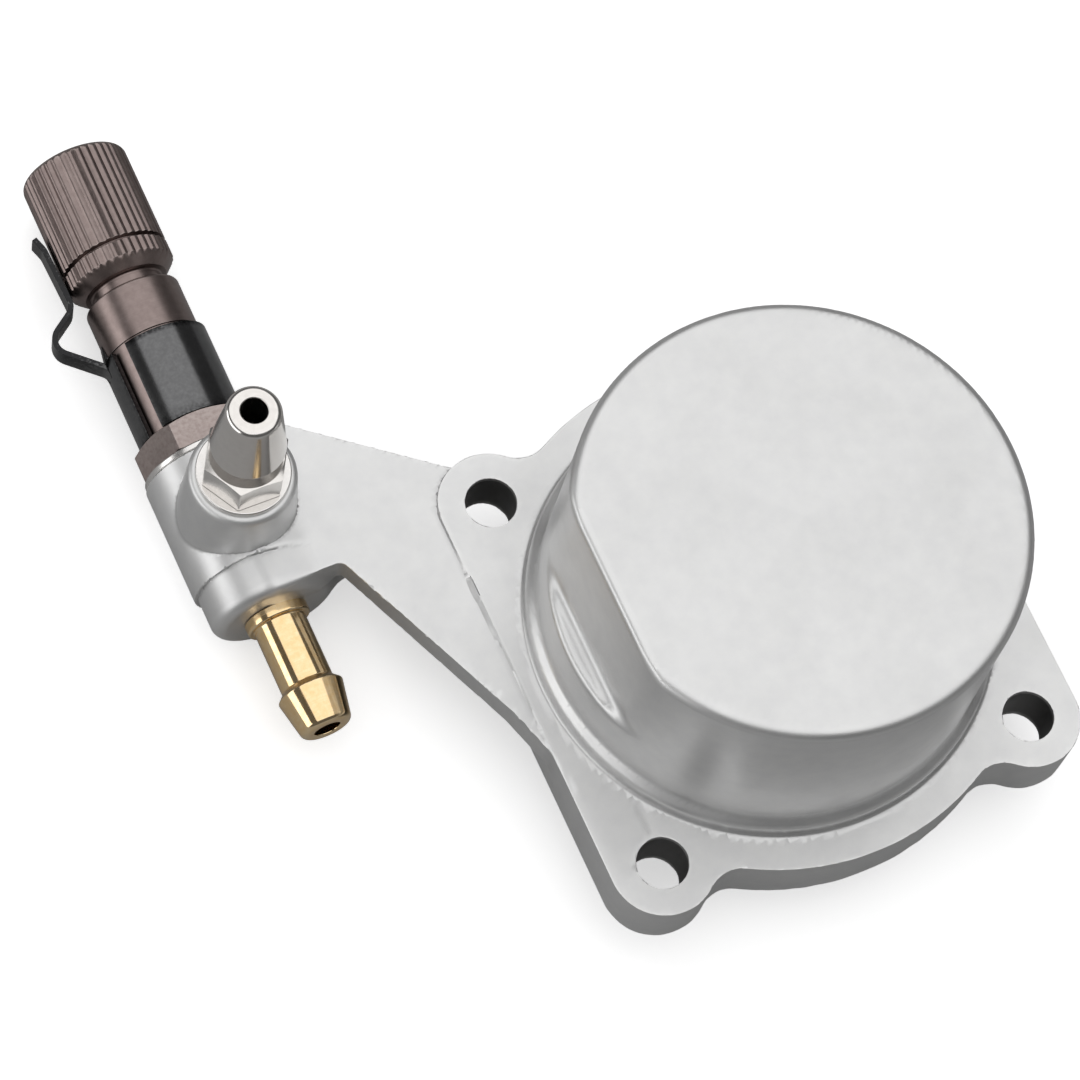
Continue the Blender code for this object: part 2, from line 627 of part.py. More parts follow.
def knob_profile():
    """Return the knob's section from the wire hole over the outside to the shank hole."""
    base = HEX_TOP_Y
    groove_low = KNOB_GROOVE_HEIGHT - 0.5 * KNOB_GROOVE_WIDTH
    groove_high = KNOB_GROOVE_HEIGHT + 0.5 * KNOB_GROOVE_WIDTH
    groove_radius = KNOB_RADIUS - KNOB_GROOVE_DEPTH
    ring_low = RING_HEIGHT - 0.5 * RING_GROOVE_WIDTH
    ring_high = RING_HEIGHT + 0.5 * RING_GROOVE_WIDTH
    shank = SHANK_RADIUS + SEAT_GAP
    section = [(0.0, WIRE_HOLE_FLOOR), (WIRE_HOLE_RADIUS, WIRE_HOLE_FLOOR)]
    section += [(WIRE_HOLE_RADIUS, KNOB_TOP)]
    section += top_rounding(KNOB_RADIUS, KNOB_TOP, KNOB_TOP_ROUND)
    section += [
        (KNOB_RADIUS, groove_high), (groove_radius, groove_high), (groove_radius, groove_low),
        (KNOB_RADIUS, groove_low), (KNOB_RADIUS, KNOB_LOW + KNOB_LOW_CHAMFER),
        (KNOB_RADIUS - KNOB_LOW_CHAMFER, KNOB_LOW), (HUB_RADIUS, KNOB_LOW),
        (HUB_RADIUS, ring_high), (RING_GROOVE_RADIUS, ring_high), (RING_GROOVE_RADIUS, ring_low),
        (HUB_RADIUS, ring_low), (HUB_RADIUS, HUB_LOW), (shank, HUB_LOW),
        (shank, SHANK_TOP + SEAT_GAP), (0.0, SHANK_TOP + SEAT_GAP),
    ]
    return [(radius, base + height) for radius, height in section]


def make_needle_knob():
    """Return the knurled knob, with holes for the shank, the wire and the grub screw."""
    knob = turned("needle_knob", knob_profile(), 2 * KNURL_TEETH)
    outside = KNOB_RADIUS - 0.5 * KNOB_GROOVE_DEPTH
    half_pitch = math.pi / KNURL_TEETH
    for corner in knob.data.vertices:
        radius = math.hypot(corner.co.x, corner.co.y)
        tooth = round(math.atan2(corner.co.y, corner.co.x) / half_pitch)
        if radius > outside and tooth % 2:
            corner.co.x *= 1.0 - KNURL_DEPTH / radius
            corner.co.y *= 1.0 - KNURL_DEPTH / radius
    end = KNOB_RADIUS + CUT_PAST
    bore = GRUB_RADIUS + SEAT_GAP
    hole = turned("grub_hole", [(0.0, end), (bore, end), (bore, 0.0), (0.0, 0.0)], HOLE_STEPS)
    hole.data.transform(grub_place())
    return combine(knob, [hole], "DIFFERENCE")


def grub_place():
    """Return the turn and shift that lay a shape made about Z along the grub screw's axis."""
    lift = Matrix.Translation((0.0, 0.0, HEX_TOP_Y + GRUB_HEIGHT))
    return lift @ Matrix.Rotation(GRUB_ANGLE, 4, "Z") @ Matrix.Rotation(0.5 * math.pi, 4, "Y")


def make_grub_screw():
    """Return the grub screw with its hexagon socket, just under the knob's surface."""
    outer = KNOB_RADIUS - 2.0 * KNURL_DEPTH
    inner = outer - GRUB_LENGTH
    profile = [(0.0, outer), (GRUB_RADIUS, outer), (GRUB_RADIUS, inner), (0.0, inner)]
    screw = turned("extension_grub_screw", profile, HOLE_STEPS)
    socket_shape = hexagon(GRUB_SOCKET_FLATS)
    socket = prism("grub_socket", socket_shape, outer - GRUB_SOCKET_DEPTH, outer + CUT_PAST)
    combine(screw, [socket], "DIFFERENCE")
    screw.data.transform(grub_place())
    return screw


def make_needle_stem():
    """Return the needle: shank in the knob, thread in the holder, taper into the outlet's seat."""
    shoulder = HEX_TOP_Y + HUB_LOW - SEAT_GAP
    shank_top = HEX_TOP_Y + SHANK_TOP
    profile = [
        (0.0, shank_top), (SHANK_RADIUS, shank_top), (SHANK_RADIUS, shoulder),
        (THREAD_RADIUS, shoulder), (THREAD_RADIUS, THREAD_END_Y), (TAPER_RADIUS, THREAD_END_Y),
        (TAPER_RADIUS, TAPER_START_Y), (TAPER_TIP_RADIUS, TAPER_TIP_Y), (0.0, TAPER_TIP_Y),
    ]
    return turned("needle_stem", profile, FINE_STEPS)


def make_o_ring():
    """Return the seal ring in the hub's groove."""
    middle = 0.5 * (RING_GROOVE_RADIUS + TUBE_BORE_RADIUS)
    turn = -2.0 * math.pi
    centre = (middle, HEX_TOP_Y + RING_HEIGHT)
    section = arc(centre, RING_SECTION, 0.0, turn, -turn / RING_SECTION_STEPS)
    return turned("needle_o_ring", [tuple(point) for point in section[:-1]], FINE_STEPS)


def make_inlet_washer():
    """Return the thin washer between the pad and the inlet's hexagon."""
    low = PAD_TOP_Z + SEAT_GAP
    high = low + INLET_WASHER_THICKNESS
    inner = INLET_SPIGOT_RADIUS + BORE_GAP
    return turned("inlet_washer", [
        (inner, high), (INLET_WASHER_RADIUS, high), (INLET_WASHER_RADIUS, low), (inner, low),
    ], FINE_STEPS)


def make_inlet_nipple():
    """Return the inlet nipple: spigot, hexagon, neck and long cone barb, bored right through."""
    upper = [(INLET_BORE_RADIUS, INLET_TIP_HEIGHT)]
    upper += top_rounding(INLET_TIP_RADIUS, INLET_TIP_HEIGHT, INLET_TIP_ROUND)
    upper += [
        (INLET_BARB_RADIUS, INLET_BARB_HEIGHT), (INLET_NECK_RADIUS, INLET_NECK_HEIGHT),
        (INLET_NECK_RADIUS, INLET_HEX_HEIGHT), (INLET_SPIGOT_RADIUS, 0.5 * INLET_HEX_HEIGHT),
    ]
    profile = [(radius, INLET_SEAT_Z + height) for radius, height in upper]
    profile += [(INLET_SPIGOT_RADIUS, INLET_SPIGOT_Z), (INLET_BORE_RADIUS, INLET_SPIGOT_Z)]
    body = turned("inlet_nipple", profile, FINE_STEPS)
    top = INLET_SEAT_Z + INLET_HEX_HEIGHT
    nut = chamfered_hexagon("inlet_hexagon", INLET_HEX_FLATS, INLET_SEAT_Z, top)
    middle = 0.5 * (INLET_BORE_RADIUS + INLET_NECK_RADIUS)
    past = top + CUT_PAST
    clearance = [(0.0, past), (middle, past), (middle, INLET_SPIGOT_Z), (0.0, INLET_SPIGOT_Z)]
    combine(nut, [turned("nut_bore", clearance, FINE_STEPS)], "DIFFERENCE")
    return combine(body, [nut], "UNION")


def make_outlet_nipple():
    """Return the outlet nipple: needle seat, spigot, collar, neck and barb, bored right through."""
    collar_top = BOSS_END_Y - SEAT_GAP
    collar_end = collar_top - OUTLET_COLLAR_LENGTH
    profile = [
        (SEAT_BORE_RADIUS, OUTLET_SEAT_Y), (OUTLET_SPIGOT_RADIUS, OUTLET_SEAT_Y),
        (OUTLET_SPIGOT_RADIUS, collar_top), (OUTLET_COLLAR_RADIUS, collar_top),
        (OUTLET_COLLAR_RADIUS, collar_end), (OUTLET_NECK_RADIUS, collar_end),
        (OUTLET_NECK_RADIUS, OUTLET_BARB_Y + OUTLET_BARB_BACK), (OUTLET_BARB_RADIUS, OUTLET_BARB_Y),
    ]
    profile += foot_rounding(OUTLET_TIP_RADIUS, OUTLET_TIP_Y, OUTLET_TIP_ROUND)
    profile += [(SEAT_BORE_RADIUS, OUTLET_TIP_Y)]
    return turned("outlet_nipple", profile, FINE_STEPS)


def build():
    """Make every piece and hang it on the datum that places it."""
    clear_scene()
    cast = make_material("cast_aluminium", (0.72, 0.73, 0.74), 0.42, 0.85)
    gunmetal = make_material("gunmetal_plate", (0.36, 0.31, 0.3), 0.32, 1.0)
    bright = make_material("bright_washer", (0.82, 0.8, 0.78), 0.25, 1.0)
    black = make_material("black_spring_steel", (0.03, 0.03, 0.032), 0.35, 0.6)
    nickel = make_material("nickel_plate", (0.72, 0.7, 0.67), 0.16, 1.0)
    brass = make_material("polished_brass", (0.8, 0.57, 0.22), 0.2, 1.0)
    steel = make_material("needle_steel", (0.55, 0.55, 0.56), 0.25, 1.0)
    rubber = make_material("seal_rubber", (0.02, 0.02, 0.02), 0.7, 0.0)

    seat = make_datum("seat_datum", (0.0, 0.0, -PLUG_HEIGHT))
    needle = make_datum("needle_axis", NEEDLE_ORIGIN, (-0.5 * math.pi, 0.0, 0.0), seat)
    inlet = make_datum("inlet_axis", (NEEDLE_X, INLET_Y, 0.0), parent=seat)

    finish(make_rear_cover(), cast, seat)
    finish(make_holder_washer(), bright, needle)
    finish(make_needle_holder(), gunmetal, needle)
    finish(make_ratchet_spring(), black, needle)
    finish(make_needle_knob(), gunmetal, needle)
    finish(make_grub_screw(), steel, needle)
    finish(make_needle_stem(), steel, needle)
    finish(make_o_ring(), rubber, needle)
    finish(make_inlet_washer(), bright, inlet)
    finish(make_inlet_nipple(), nickel, inlet)
    finish(make_outlet_nipple(), brass, needle)


build()
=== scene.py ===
"""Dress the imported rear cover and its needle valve, and light them on a pale floor.

Sizes are millimetres, and heights are measured from the flange's machined seat face. Finished
meshes are metres in the part's own frame, whose origin is the centre of the plug's closed face.
"""
from __future__ import annotations

import logging
import math
from dataclasses import dataclass, field
from enum import Enum
from typing import Callable, Optional, Sequence

import bmesh
import bpy
import numpy as np
from mathutils import Matrix, Vector


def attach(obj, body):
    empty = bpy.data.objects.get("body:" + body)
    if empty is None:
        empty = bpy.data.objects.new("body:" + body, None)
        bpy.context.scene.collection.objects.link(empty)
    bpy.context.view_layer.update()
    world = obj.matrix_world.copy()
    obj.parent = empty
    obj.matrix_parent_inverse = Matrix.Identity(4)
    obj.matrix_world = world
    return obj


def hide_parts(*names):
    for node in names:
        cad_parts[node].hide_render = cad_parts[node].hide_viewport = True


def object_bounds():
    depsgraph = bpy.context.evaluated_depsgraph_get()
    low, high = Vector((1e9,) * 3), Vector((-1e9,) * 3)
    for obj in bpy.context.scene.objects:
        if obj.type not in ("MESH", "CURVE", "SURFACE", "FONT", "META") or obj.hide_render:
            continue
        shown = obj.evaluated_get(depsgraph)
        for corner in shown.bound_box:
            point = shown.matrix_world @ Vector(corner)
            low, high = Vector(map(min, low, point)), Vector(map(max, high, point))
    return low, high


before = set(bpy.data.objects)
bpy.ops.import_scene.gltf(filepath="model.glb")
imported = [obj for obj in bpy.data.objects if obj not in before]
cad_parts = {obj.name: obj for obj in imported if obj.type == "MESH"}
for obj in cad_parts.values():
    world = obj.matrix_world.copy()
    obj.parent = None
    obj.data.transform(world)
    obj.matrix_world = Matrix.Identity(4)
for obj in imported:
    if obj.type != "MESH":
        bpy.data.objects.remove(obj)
CAD_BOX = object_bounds()

LOG = logging.getLogger("rear_cover")
MM = 0.001
TINY = 1e-12
FINEST_ROUND = 0.04
ARC_STEP = math.radians(12.0)
ARC_REACH = 0.48
STRAIGHT_TURN = 1e-4
ANGLE_SLACK = 1e-6
SIXTH_TURN = math.pi / 3.0
SMOOTH_ANGLE = math.radians(38.0)

Corner = tuple[float, float, float]
Colour = tuple[float, float, float]
Distance = Callable[[np.ndarray, np.ndarray, np.ndarray], np.ndarray]


@dataclass(frozen=True)
class Places:
    """Places that several pieces share, in millimetres."""

    plug_height: float = 14.9
    needle_x: float = -26.8
    needle_z: float = -4.05
    inlet_y: float = 18.4
    boss_top: float = 22.4
    boss_end: float = 12.0
    holder_seat: float = 22.95
    hex_top: float = 24.95
    spigot_foot: float = 19.3
    outlet_seat: float = 15.6
    pad_top: float = 3.95
    inlet_seat: float = 4.45
    inlet_foot: float = 0.75
    seat_gap: float = 0.05
    bore_gap: float = 0.1


PLACES = Places()


class Axis(Enum):
    """Axis that a turned piece is made about."""

    NEEDLE = "needle"
    INLET = "inlet"

    def matrix(self) -> Matrix:
        """Find where a piece turned about this axis belongs.

        Returns:
            The move from lathe millimetres to the part's frame in metres.
        """
        if self is Axis.NEEDLE:
            place = Matrix.Translation((PLACES.needle_x, 0.0, PLACES.needle_z - PLACES.plug_height))
            place = place @ Matrix.Rotation(-0.5 * math.pi, 4, "X")
        else:
            place = Matrix.Translation((PLACES.needle_x, PLACES.inlet_y, -PLACES.plug_height))
        return Matrix.Scale(MM, 4) @ place


class Body(Enum):
    """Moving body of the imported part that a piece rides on."""

    COVER = "cover"
    SEAL = "needle_seal"
    NEEDLE = "needle"


def rounded_path(
    corners: Sequence[Corner], closed: bool, step: float = ARC_STEP
) -> tuple[np.ndarray, np.ndarray, np.ndarray]:
    """Round the corners of a polyline.

    Args:
        corners: Points as (across, along, rounding radius).
        closed: Whether the last corner joins the first.
        step: Largest turn between two points of an arc, in radians.

    Returns:
        Points, unit tangents and bends, where a bend rises to 1 in the middle of a left turn and
        falls to -1 in the middle of a right turn.
    """
    places = np.array([corner[:2] for corner in corners], float)
    points, tangents, bends = [], [], []
    last = len(corners) - 1
    for index, (here, corner) in enumerate(zip(places, corners)):
        before = places[index - 1] if closed or index else None
        after = places[(index + 1) % len(corners)] if closed or index < last else None
        if before is None or after is None:
            lead = after - here if before is None else here - before
            points.append(here)
            tangents.append(lead / np.linalg.norm(lead))
            bends.append(0.0)
            continue
        into, out = here - before, after - here
        reach = ARC_REACH * min(np.linalg.norm(into), np.linalg.norm(out))
        into, out = into / np.linalg.norm(into), out / np.linalg.norm(out)
        turn = math.atan2(into[0] * out[1] - into[1] * out[0], float(into @ out))
        if abs(turn) < STRAIGHT_TURN:
            points.append(here)
            tangents.append(into)
            bends.append(0.0)
            continue
        slope = math.tan(0.5 * abs(turn))
        radius = min(max(corner[2], FINEST_ROUND), reach / slope)
        start = here - into * radius * slope
        side = np.array([-into[1], into[0]]) * math.copysign(radius, turn)
        count = max(2, math.ceil(abs(turn) / step))
        for share in np.linspace(0.0, 1.0, count + 1):
            cosine, sine = math.cos(turn * share), math.sin(turn * share)
            spin = np.array([[cosine, -sine], [sine, cosine]])
            points.append(start + side - spin @ side)
            tangents.append(spin @ into)
            bends.append(math.copysign(1.0 - abs(2.0 * share - 1.0), turn))
    return np.array(points), np.array(tangents), np.array(bends)


def straight_run(radius: float, low: float, high: float, count: int) -> list[Corner]:
    """Return evenly spaced corners along a straight wall, without its two ends."""
    return [(radius, low + (high - low) * index / count, 0.0) for index in range(1, count)]


def from_flat(angles: np.ndarray) -> np.ndarray:
    """Return how far each angle lies from the middle of a hexagon's nearest flat."""
    return np.mod(angles, SIXTH_TURN) - 0.5 * SIXTH_TURN


def unit_rows(rows: np.ndarray) -> np.ndarray:
    """Return each row scaled to a length of one."""
    return rows / np.maximum(np.linalg.norm(rows, axis=1, keepdims=True), TINY)


def raw_mesh(name: str, places: np.ndarray, faces: Sequence[Sequence[int]]) -> bpy.types.Mesh:
    """Make a smooth mesh from arrays.

    Args:
        name: Mesh name.
        places: Vertex places, one row each.
        faces: Vertex numbers of each face.

    Returns:
        The new mesh.
    """
    mesh = bpy.data.meshes.new(name)
    sizes = np.fromiter((len(face) for face in faces), np.int32, len(faces))
    mesh.vertices.add(len(places))
    mesh.vertices.foreach_set("co", np.asarray(places, np.float32).ravel())
    mesh.loops.add(int(sizes.sum()))
    corners = np.concatenate([np.asarray(face, np.int32) for face in faces])
    mesh.loops.foreach_set("vertex_index", corners)
    mesh.polygons.add(len(faces))
    starts = np.concatenate([[0], np.cumsum(sizes)[:-1]]).astype(np.int32)
    mesh.polygons.foreach_set("loop_start", starts)
    mesh.update(calc_edges=True)
    mesh.polygons.foreach_set("use_smooth", np.ones(len(faces), bool))
    return mesh


def set_mask(mesh: bpy.types.Mesh, name: str, values: np.ndarray) -> None:
    """Store one number for each vertex under a name that the finishes read."""
    mask = mesh.attributes.new(name, "FLOAT", "POINT")
    mask.data.foreach_set("value", np.asarray(values, np.float32))


def mask_edges(mesh: bpy.types.Mesh, reach: float = math.radians(60.0)) -> None:
    """Store how strongly each vertex lies on a convex edge.

    Args:
        mesh: Mesh that gets the mask.
        reach: Angle between two faces at which the mask is full.
    """
    bm = bmesh.new()
    bm.from_mesh(mesh)
    values = np.zeros(len(bm.verts))
    for edge in bm.edges:
        if len(edge.link_faces) == 2:
            bend = min(max(edge.calc_face_angle_signed(0.0), 0.0) / reach, 1.0)
            for vert in edge.verts:
                values[vert.index] = max(values[vert.index], bend)
    bm.free()
    set_mask(mesh, "edge", values)


def shade(mesh: bpy.types.Mesh) -> None:
    """Shade a mesh smooth between its sharp edges."""
    mesh.shade_smooth()
    mesh.set_sharp_from_angle(angle=SMOOTH_ANGLE)


def settle(item: bpy.types.Object) -> bpy.types.Mesh:
    """Apply an object's modifiers and remove the object.

    Args:
        item: Object to settle.

    Returns:
        Its plain mesh.
    """
    bpy.context.view_layer.update()
    evaluated = item.evaluated_get(bpy.context.evaluated_depsgraph_get())
    mesh = bpy.data.meshes.new_from_object(evaluated)
    mesh.name = item.name
    item.modifiers.clear()
    bpy.data.objects.remove(item, do_unlink=True)
    return mesh


def link_object(name: str, mesh: bpy.types.Mesh) -> bpy.types.Object:
    """Link a new object to the scene.

    Args:
        name: Object name.
        mesh: Mesh that it shows.

    Returns:
        The object.
    """
    item = bpy.data.objects.new(name, mesh)
    bpy.context.scene.collection.objects.link(item)
    return item


@dataclass
class Ring:
    """One ring of a turned surface, with the normals of the strip that leads to it."""

    radius: np.ndarray
    height: np.ndarray
    normal: tuple[float, float]
    edge: float = 0.0
    strip: Optional[tuple[float, float]] = None
    faceted: bool = False


@dataclass
class Lathe:
    """Turned surface that may carry one hexagon.

    Corners run up the outside with the material on their left, in millimetres.
    """

    name: str
    steps: int = 144
    flats: float = 0.0
    rings: list[Ring] = field(default_factory=list)

    CORNER_TRIM = 0.99
    FLAT_REACH = math.acos(math.sqrt(0.75) / CORNER_TRIM)
    POLE_RADIUS = 1e-6
    CHAMFER_SLOPE = 0.5
    CHAMFER_INSET = 0.06

    def __post_init__(self) -> None:
        """Lay out the angles, with close pairs at a hexagon's trimmed corners."""
        angles = np.arange(self.steps) * 2.0 * math.pi / self.steps
        if self.flats:
            trim = 0.5 * SIXTH_TURN - self.FLAT_REACH
            pairs = [turn * SIXTH_TURN + side * trim for turn in range(6) for side in (-1, 1)]
            angles = np.sort(np.concatenate([angles, np.mod(pairs, 2.0 * math.pi)]))
        self.angles = angles

    def hexagon_radius(self) -> np.ndarray:
        """Return the hexagon's radius at each angle, with its corners trimmed round."""
        corner = self.flats / math.sqrt(3.0) * self.CORNER_TRIM
        return np.minimum(0.5 * self.flats / np.cos(from_flat(self.angles)), corner)

    def add(
        self, corners: Sequence[Corner], closed: bool = False,
        strip: Optional[tuple[float, float]] = None,
    ) -> "Lathe":
        """Add rounded rings along a profile.

        Args:
            corners: Profile as (radius, height, rounding).
            closed: Whether the profile closes on itself.
            strip: Normal of the flat strip that leads to the first ring, if it isn't smooth.

        Returns:
            The lathe itself.
        """
        points, tangents, bends = rounded_path(corners, closed)
        ones = np.ones(len(self.angles))
        for index, (point, tangent, bend) in enumerate(zip(points, tangents, bends)):
            normal = (float(tangent[1]), float(-tangent[0]))
            lead = strip if index == 0 else None
            radius = ones * max(point[0], 0.0)
            self.rings.append(Ring(radius, ones * point[1], normal, max(bend, 0.0), lead))
        return self

    def add_hexagon(self, low: float, high: float) -> "Lathe":
        """Add the hexagon's underside, flats and top chamfer.

        Args:
            low: Height of its underside.
            high: Height of its top.

        Returns:
            The lathe itself.
        """
        radius = self.hexagon_radius()
        ones = np.ones(len(radius))
        inner = 0.5 * self.flats - self.CHAMFER_INSET
        edge = high - self.CHAMFER_SLOPE * (radius - inner)
        length = math.hypot(self.CHAMFER_SLOPE, 1.0)
        slant = (self.CHAMFER_SLOPE / length, 1.0 / length)
        self.rings.append(Ring(radius, ones * low, (0.0, -1.0), 0.6, (0.0, -1.0)))
        self.rings.append(Ring(radius, edge, slant, 0.8, None, True))
        self.rings.append(Ring(ones * inner, ones * high, slant, 0.4, slant))
        return self

    def mesh(self, matrix: Matrix, closed: bool = False, exact: bool = True) -> bpy.types.Mesh:
        """Build the surface.

        Args:
            matrix: Move from lathe millimetres to where the mesh belongs.
            closed: Whether the last ring joins the first.
            exact: Whether to keep the profile's own normals.

        Returns:
            The mesh, with its edge mask.
        """
        count = len(self.angles)
        cosine, sine = np.cos(self.angles), np.sin(self.angles)
        places, edges, first = [], [], []
        for ring in self.rings:
            pole = float(ring.radius.max()) < self.POLE_RADIUS
            first.append((len(places), pole))
            rows = np.stack([ring.radius * cosine, ring.radius * sine, ring.height], 1)
            places.extend(rows[:1] if pole else rows)
            edges.extend([ring.edge] * (1 if pole else count))
        faces, normals = [], []
        pairs = list(zip(range(len(self.rings) - 1), range(1, len(self.rings))))
        if closed:
            pairs.append((len(self.rings) - 1, 0))
        gaps = np.diff(np.append(self.angles, 2.0 * math.pi))
        middle = np.mod(self.angles + 0.5 * gaps, 2.0 * math.pi)
        swing = from_flat(middle)
        facing = np.where(np.abs(swing) < self.FLAT_REACH, middle - swing, middle)
        for low, high in pairs:
            (base, low_pole), (top, high_pole) = first[low], first[high]
            ends = self.rings[low].normal, self.rings[high].normal
            if self.rings[high].strip is not None:
                ends = (self.rings[high].strip,) * 2
            for index in range(count):
                after = (index + 1) % count
                corners = [(base, index, ends[0])] if low_pole else [
                    (base + place, place, ends[0]) for place in (index, after)]
                corners += [(top, index, ends[1])] if high_pole else [
                    (top + place, place, ends[1]) for place in (after, index)]
                faces.append([corner[0] for corner in corners])
                for _, place, (across, along) in corners:
                    angle = self.angles[place]
                    if self.rings[high].faceted:
                        angle, across, along = facing[index], 1.0, 0.0
                    normals.append((across * math.cos(angle), across * math.sin(angle), along))
        mesh = raw_mesh(self.name, np.array(places), faces)
        mesh.transform(matrix)
        set_mask(mesh, "edge", np.array(edges))
        if exact:
            turned = np.array(normals) @ np.array(matrix.to_3x3().normalized()).T
            mesh.normals_split_custom_set([tuple(row) for row in turned])
        return mesh


class NodeBench:
    """Small helper that adds and joins nodes in one tree."""

    def __init__(self, tree: bpy.types.NodeTree) -> None:
        """Keep the tree to work on."""
        self.tree = tree

    def node(self, kind: str, **settings: object) -> bpy.types.Node:
        """Add a node to the tree.

        Args:
            kind: Type name of the node.
            settings: Settings to change.

        Returns:
            The node.
        """
        made = self.tree.nodes.new(kind)
        for name, value in settings.items():
            setattr(made, name, value)
        return made

    def join(self, source: object, target: bpy.types.NodeSocket) -> None:
        """Link a socket to a socket, or set the target's own value.

        Args:
            source: Socket or value.
            target: Socket that gets it.
        """
        if isinstance(source, bpy.types.NodeSocket):
            self.tree.links.new(source, target)
        else:
            target.default_value = source

    def math(self, operation: str, *terms: object, clamp: bool = False) -> bpy.types.NodeSocket:
        """Add one math node.

        Args:
            operation: What it does.
            terms: Sockets or values that it reads.
            clamp: Whether to hold the result between 0 and 1.

        Returns:
            Its result.
        """
        made = self.node("ShaderNodeMath", operation=operation, use_clamp=clamp)
        for term, socket in zip(terms, made.inputs):
            self.join(term, socket)
        return made.outputs[0]

    def vector(self, operation: str, *terms: object, output: int = 0) -> bpy.types.NodeSocket:
        """Add one vector math node.

        Args:
            operation: What it does.
            terms: Sockets or values that it reads.
            output: Number of the result that is wanted.

        Returns:
            That result.
        """
        made = self.node("ShaderNodeVectorMath", operation=operation)
        slots = [made.inputs[0], made.inputs[3]] if operation == "SCALE" else made.inputs
        for term, socket in zip(terms, slots):
            self.join(term, socket)
        return made.outputs[output]

    def spread(
        self, value: object, low: float, high: float, start: float, end: float
    ) -> bpy.types.NodeSocket:
        """Move a value from one range to another and hold it there.

        Args:
            value: Socket or value.
            low: Start of the first range.
            high: End of the first range.
            start: Start of the second range.
            end: End of the second range.

        Returns:
            The moved value.
        """
        made = self.node("ShaderNodeMapRange")
        for term, name in zip((value, low, high, start, end),
                              ("Value", "From Min", "From Max", "To Min", "To Max")):
            self.join(term, made.inputs[name])
        return made.outputs["Result"]

    def blend(self, share: object, first: object, second: object) -> bpy.types.NodeSocket:
        """Mix two colours.

        Args:
            share: Share of the second colour.
            first: Colour or socket.
            second: Colour or socket.

        Returns:
            The mixed colour.
        """
        made = self.node("ShaderNodeMix", data_type="RGBA")
        colours = [socket for socket in made.inputs if socket.type == "RGBA"]
        self.join(share, made.inputs[0])
        for colour, socket in zip((first, second), colours):
            self.join((*colour, 1.0) if isinstance(colour, tuple) else colour, socket)
        return next(socket for socket in made.outputs if socket.type == "RGBA")

    def noise(
        self, vector: object, scale: object, detail: float, roughness: float = 0.55
    ) -> bpy.types.NodeSocket:
        """Add a noise texture.

        Args:
            vector: Coordinates.
            scale: Scale of the noise.
            detail: Number of finer layers.
            roughness: Strength of each finer layer.

        Returns:
            Its value.
        """
        made = self.node("ShaderNodeTexNoise")
        self.join(vector, made.inputs["Vector"])
        self.join(scale, made.inputs["Scale"])
        made.inputs["Detail"].default_value = detail
        made.inputs["Roughness"].default_value = roughness
        return made.outputs[0]


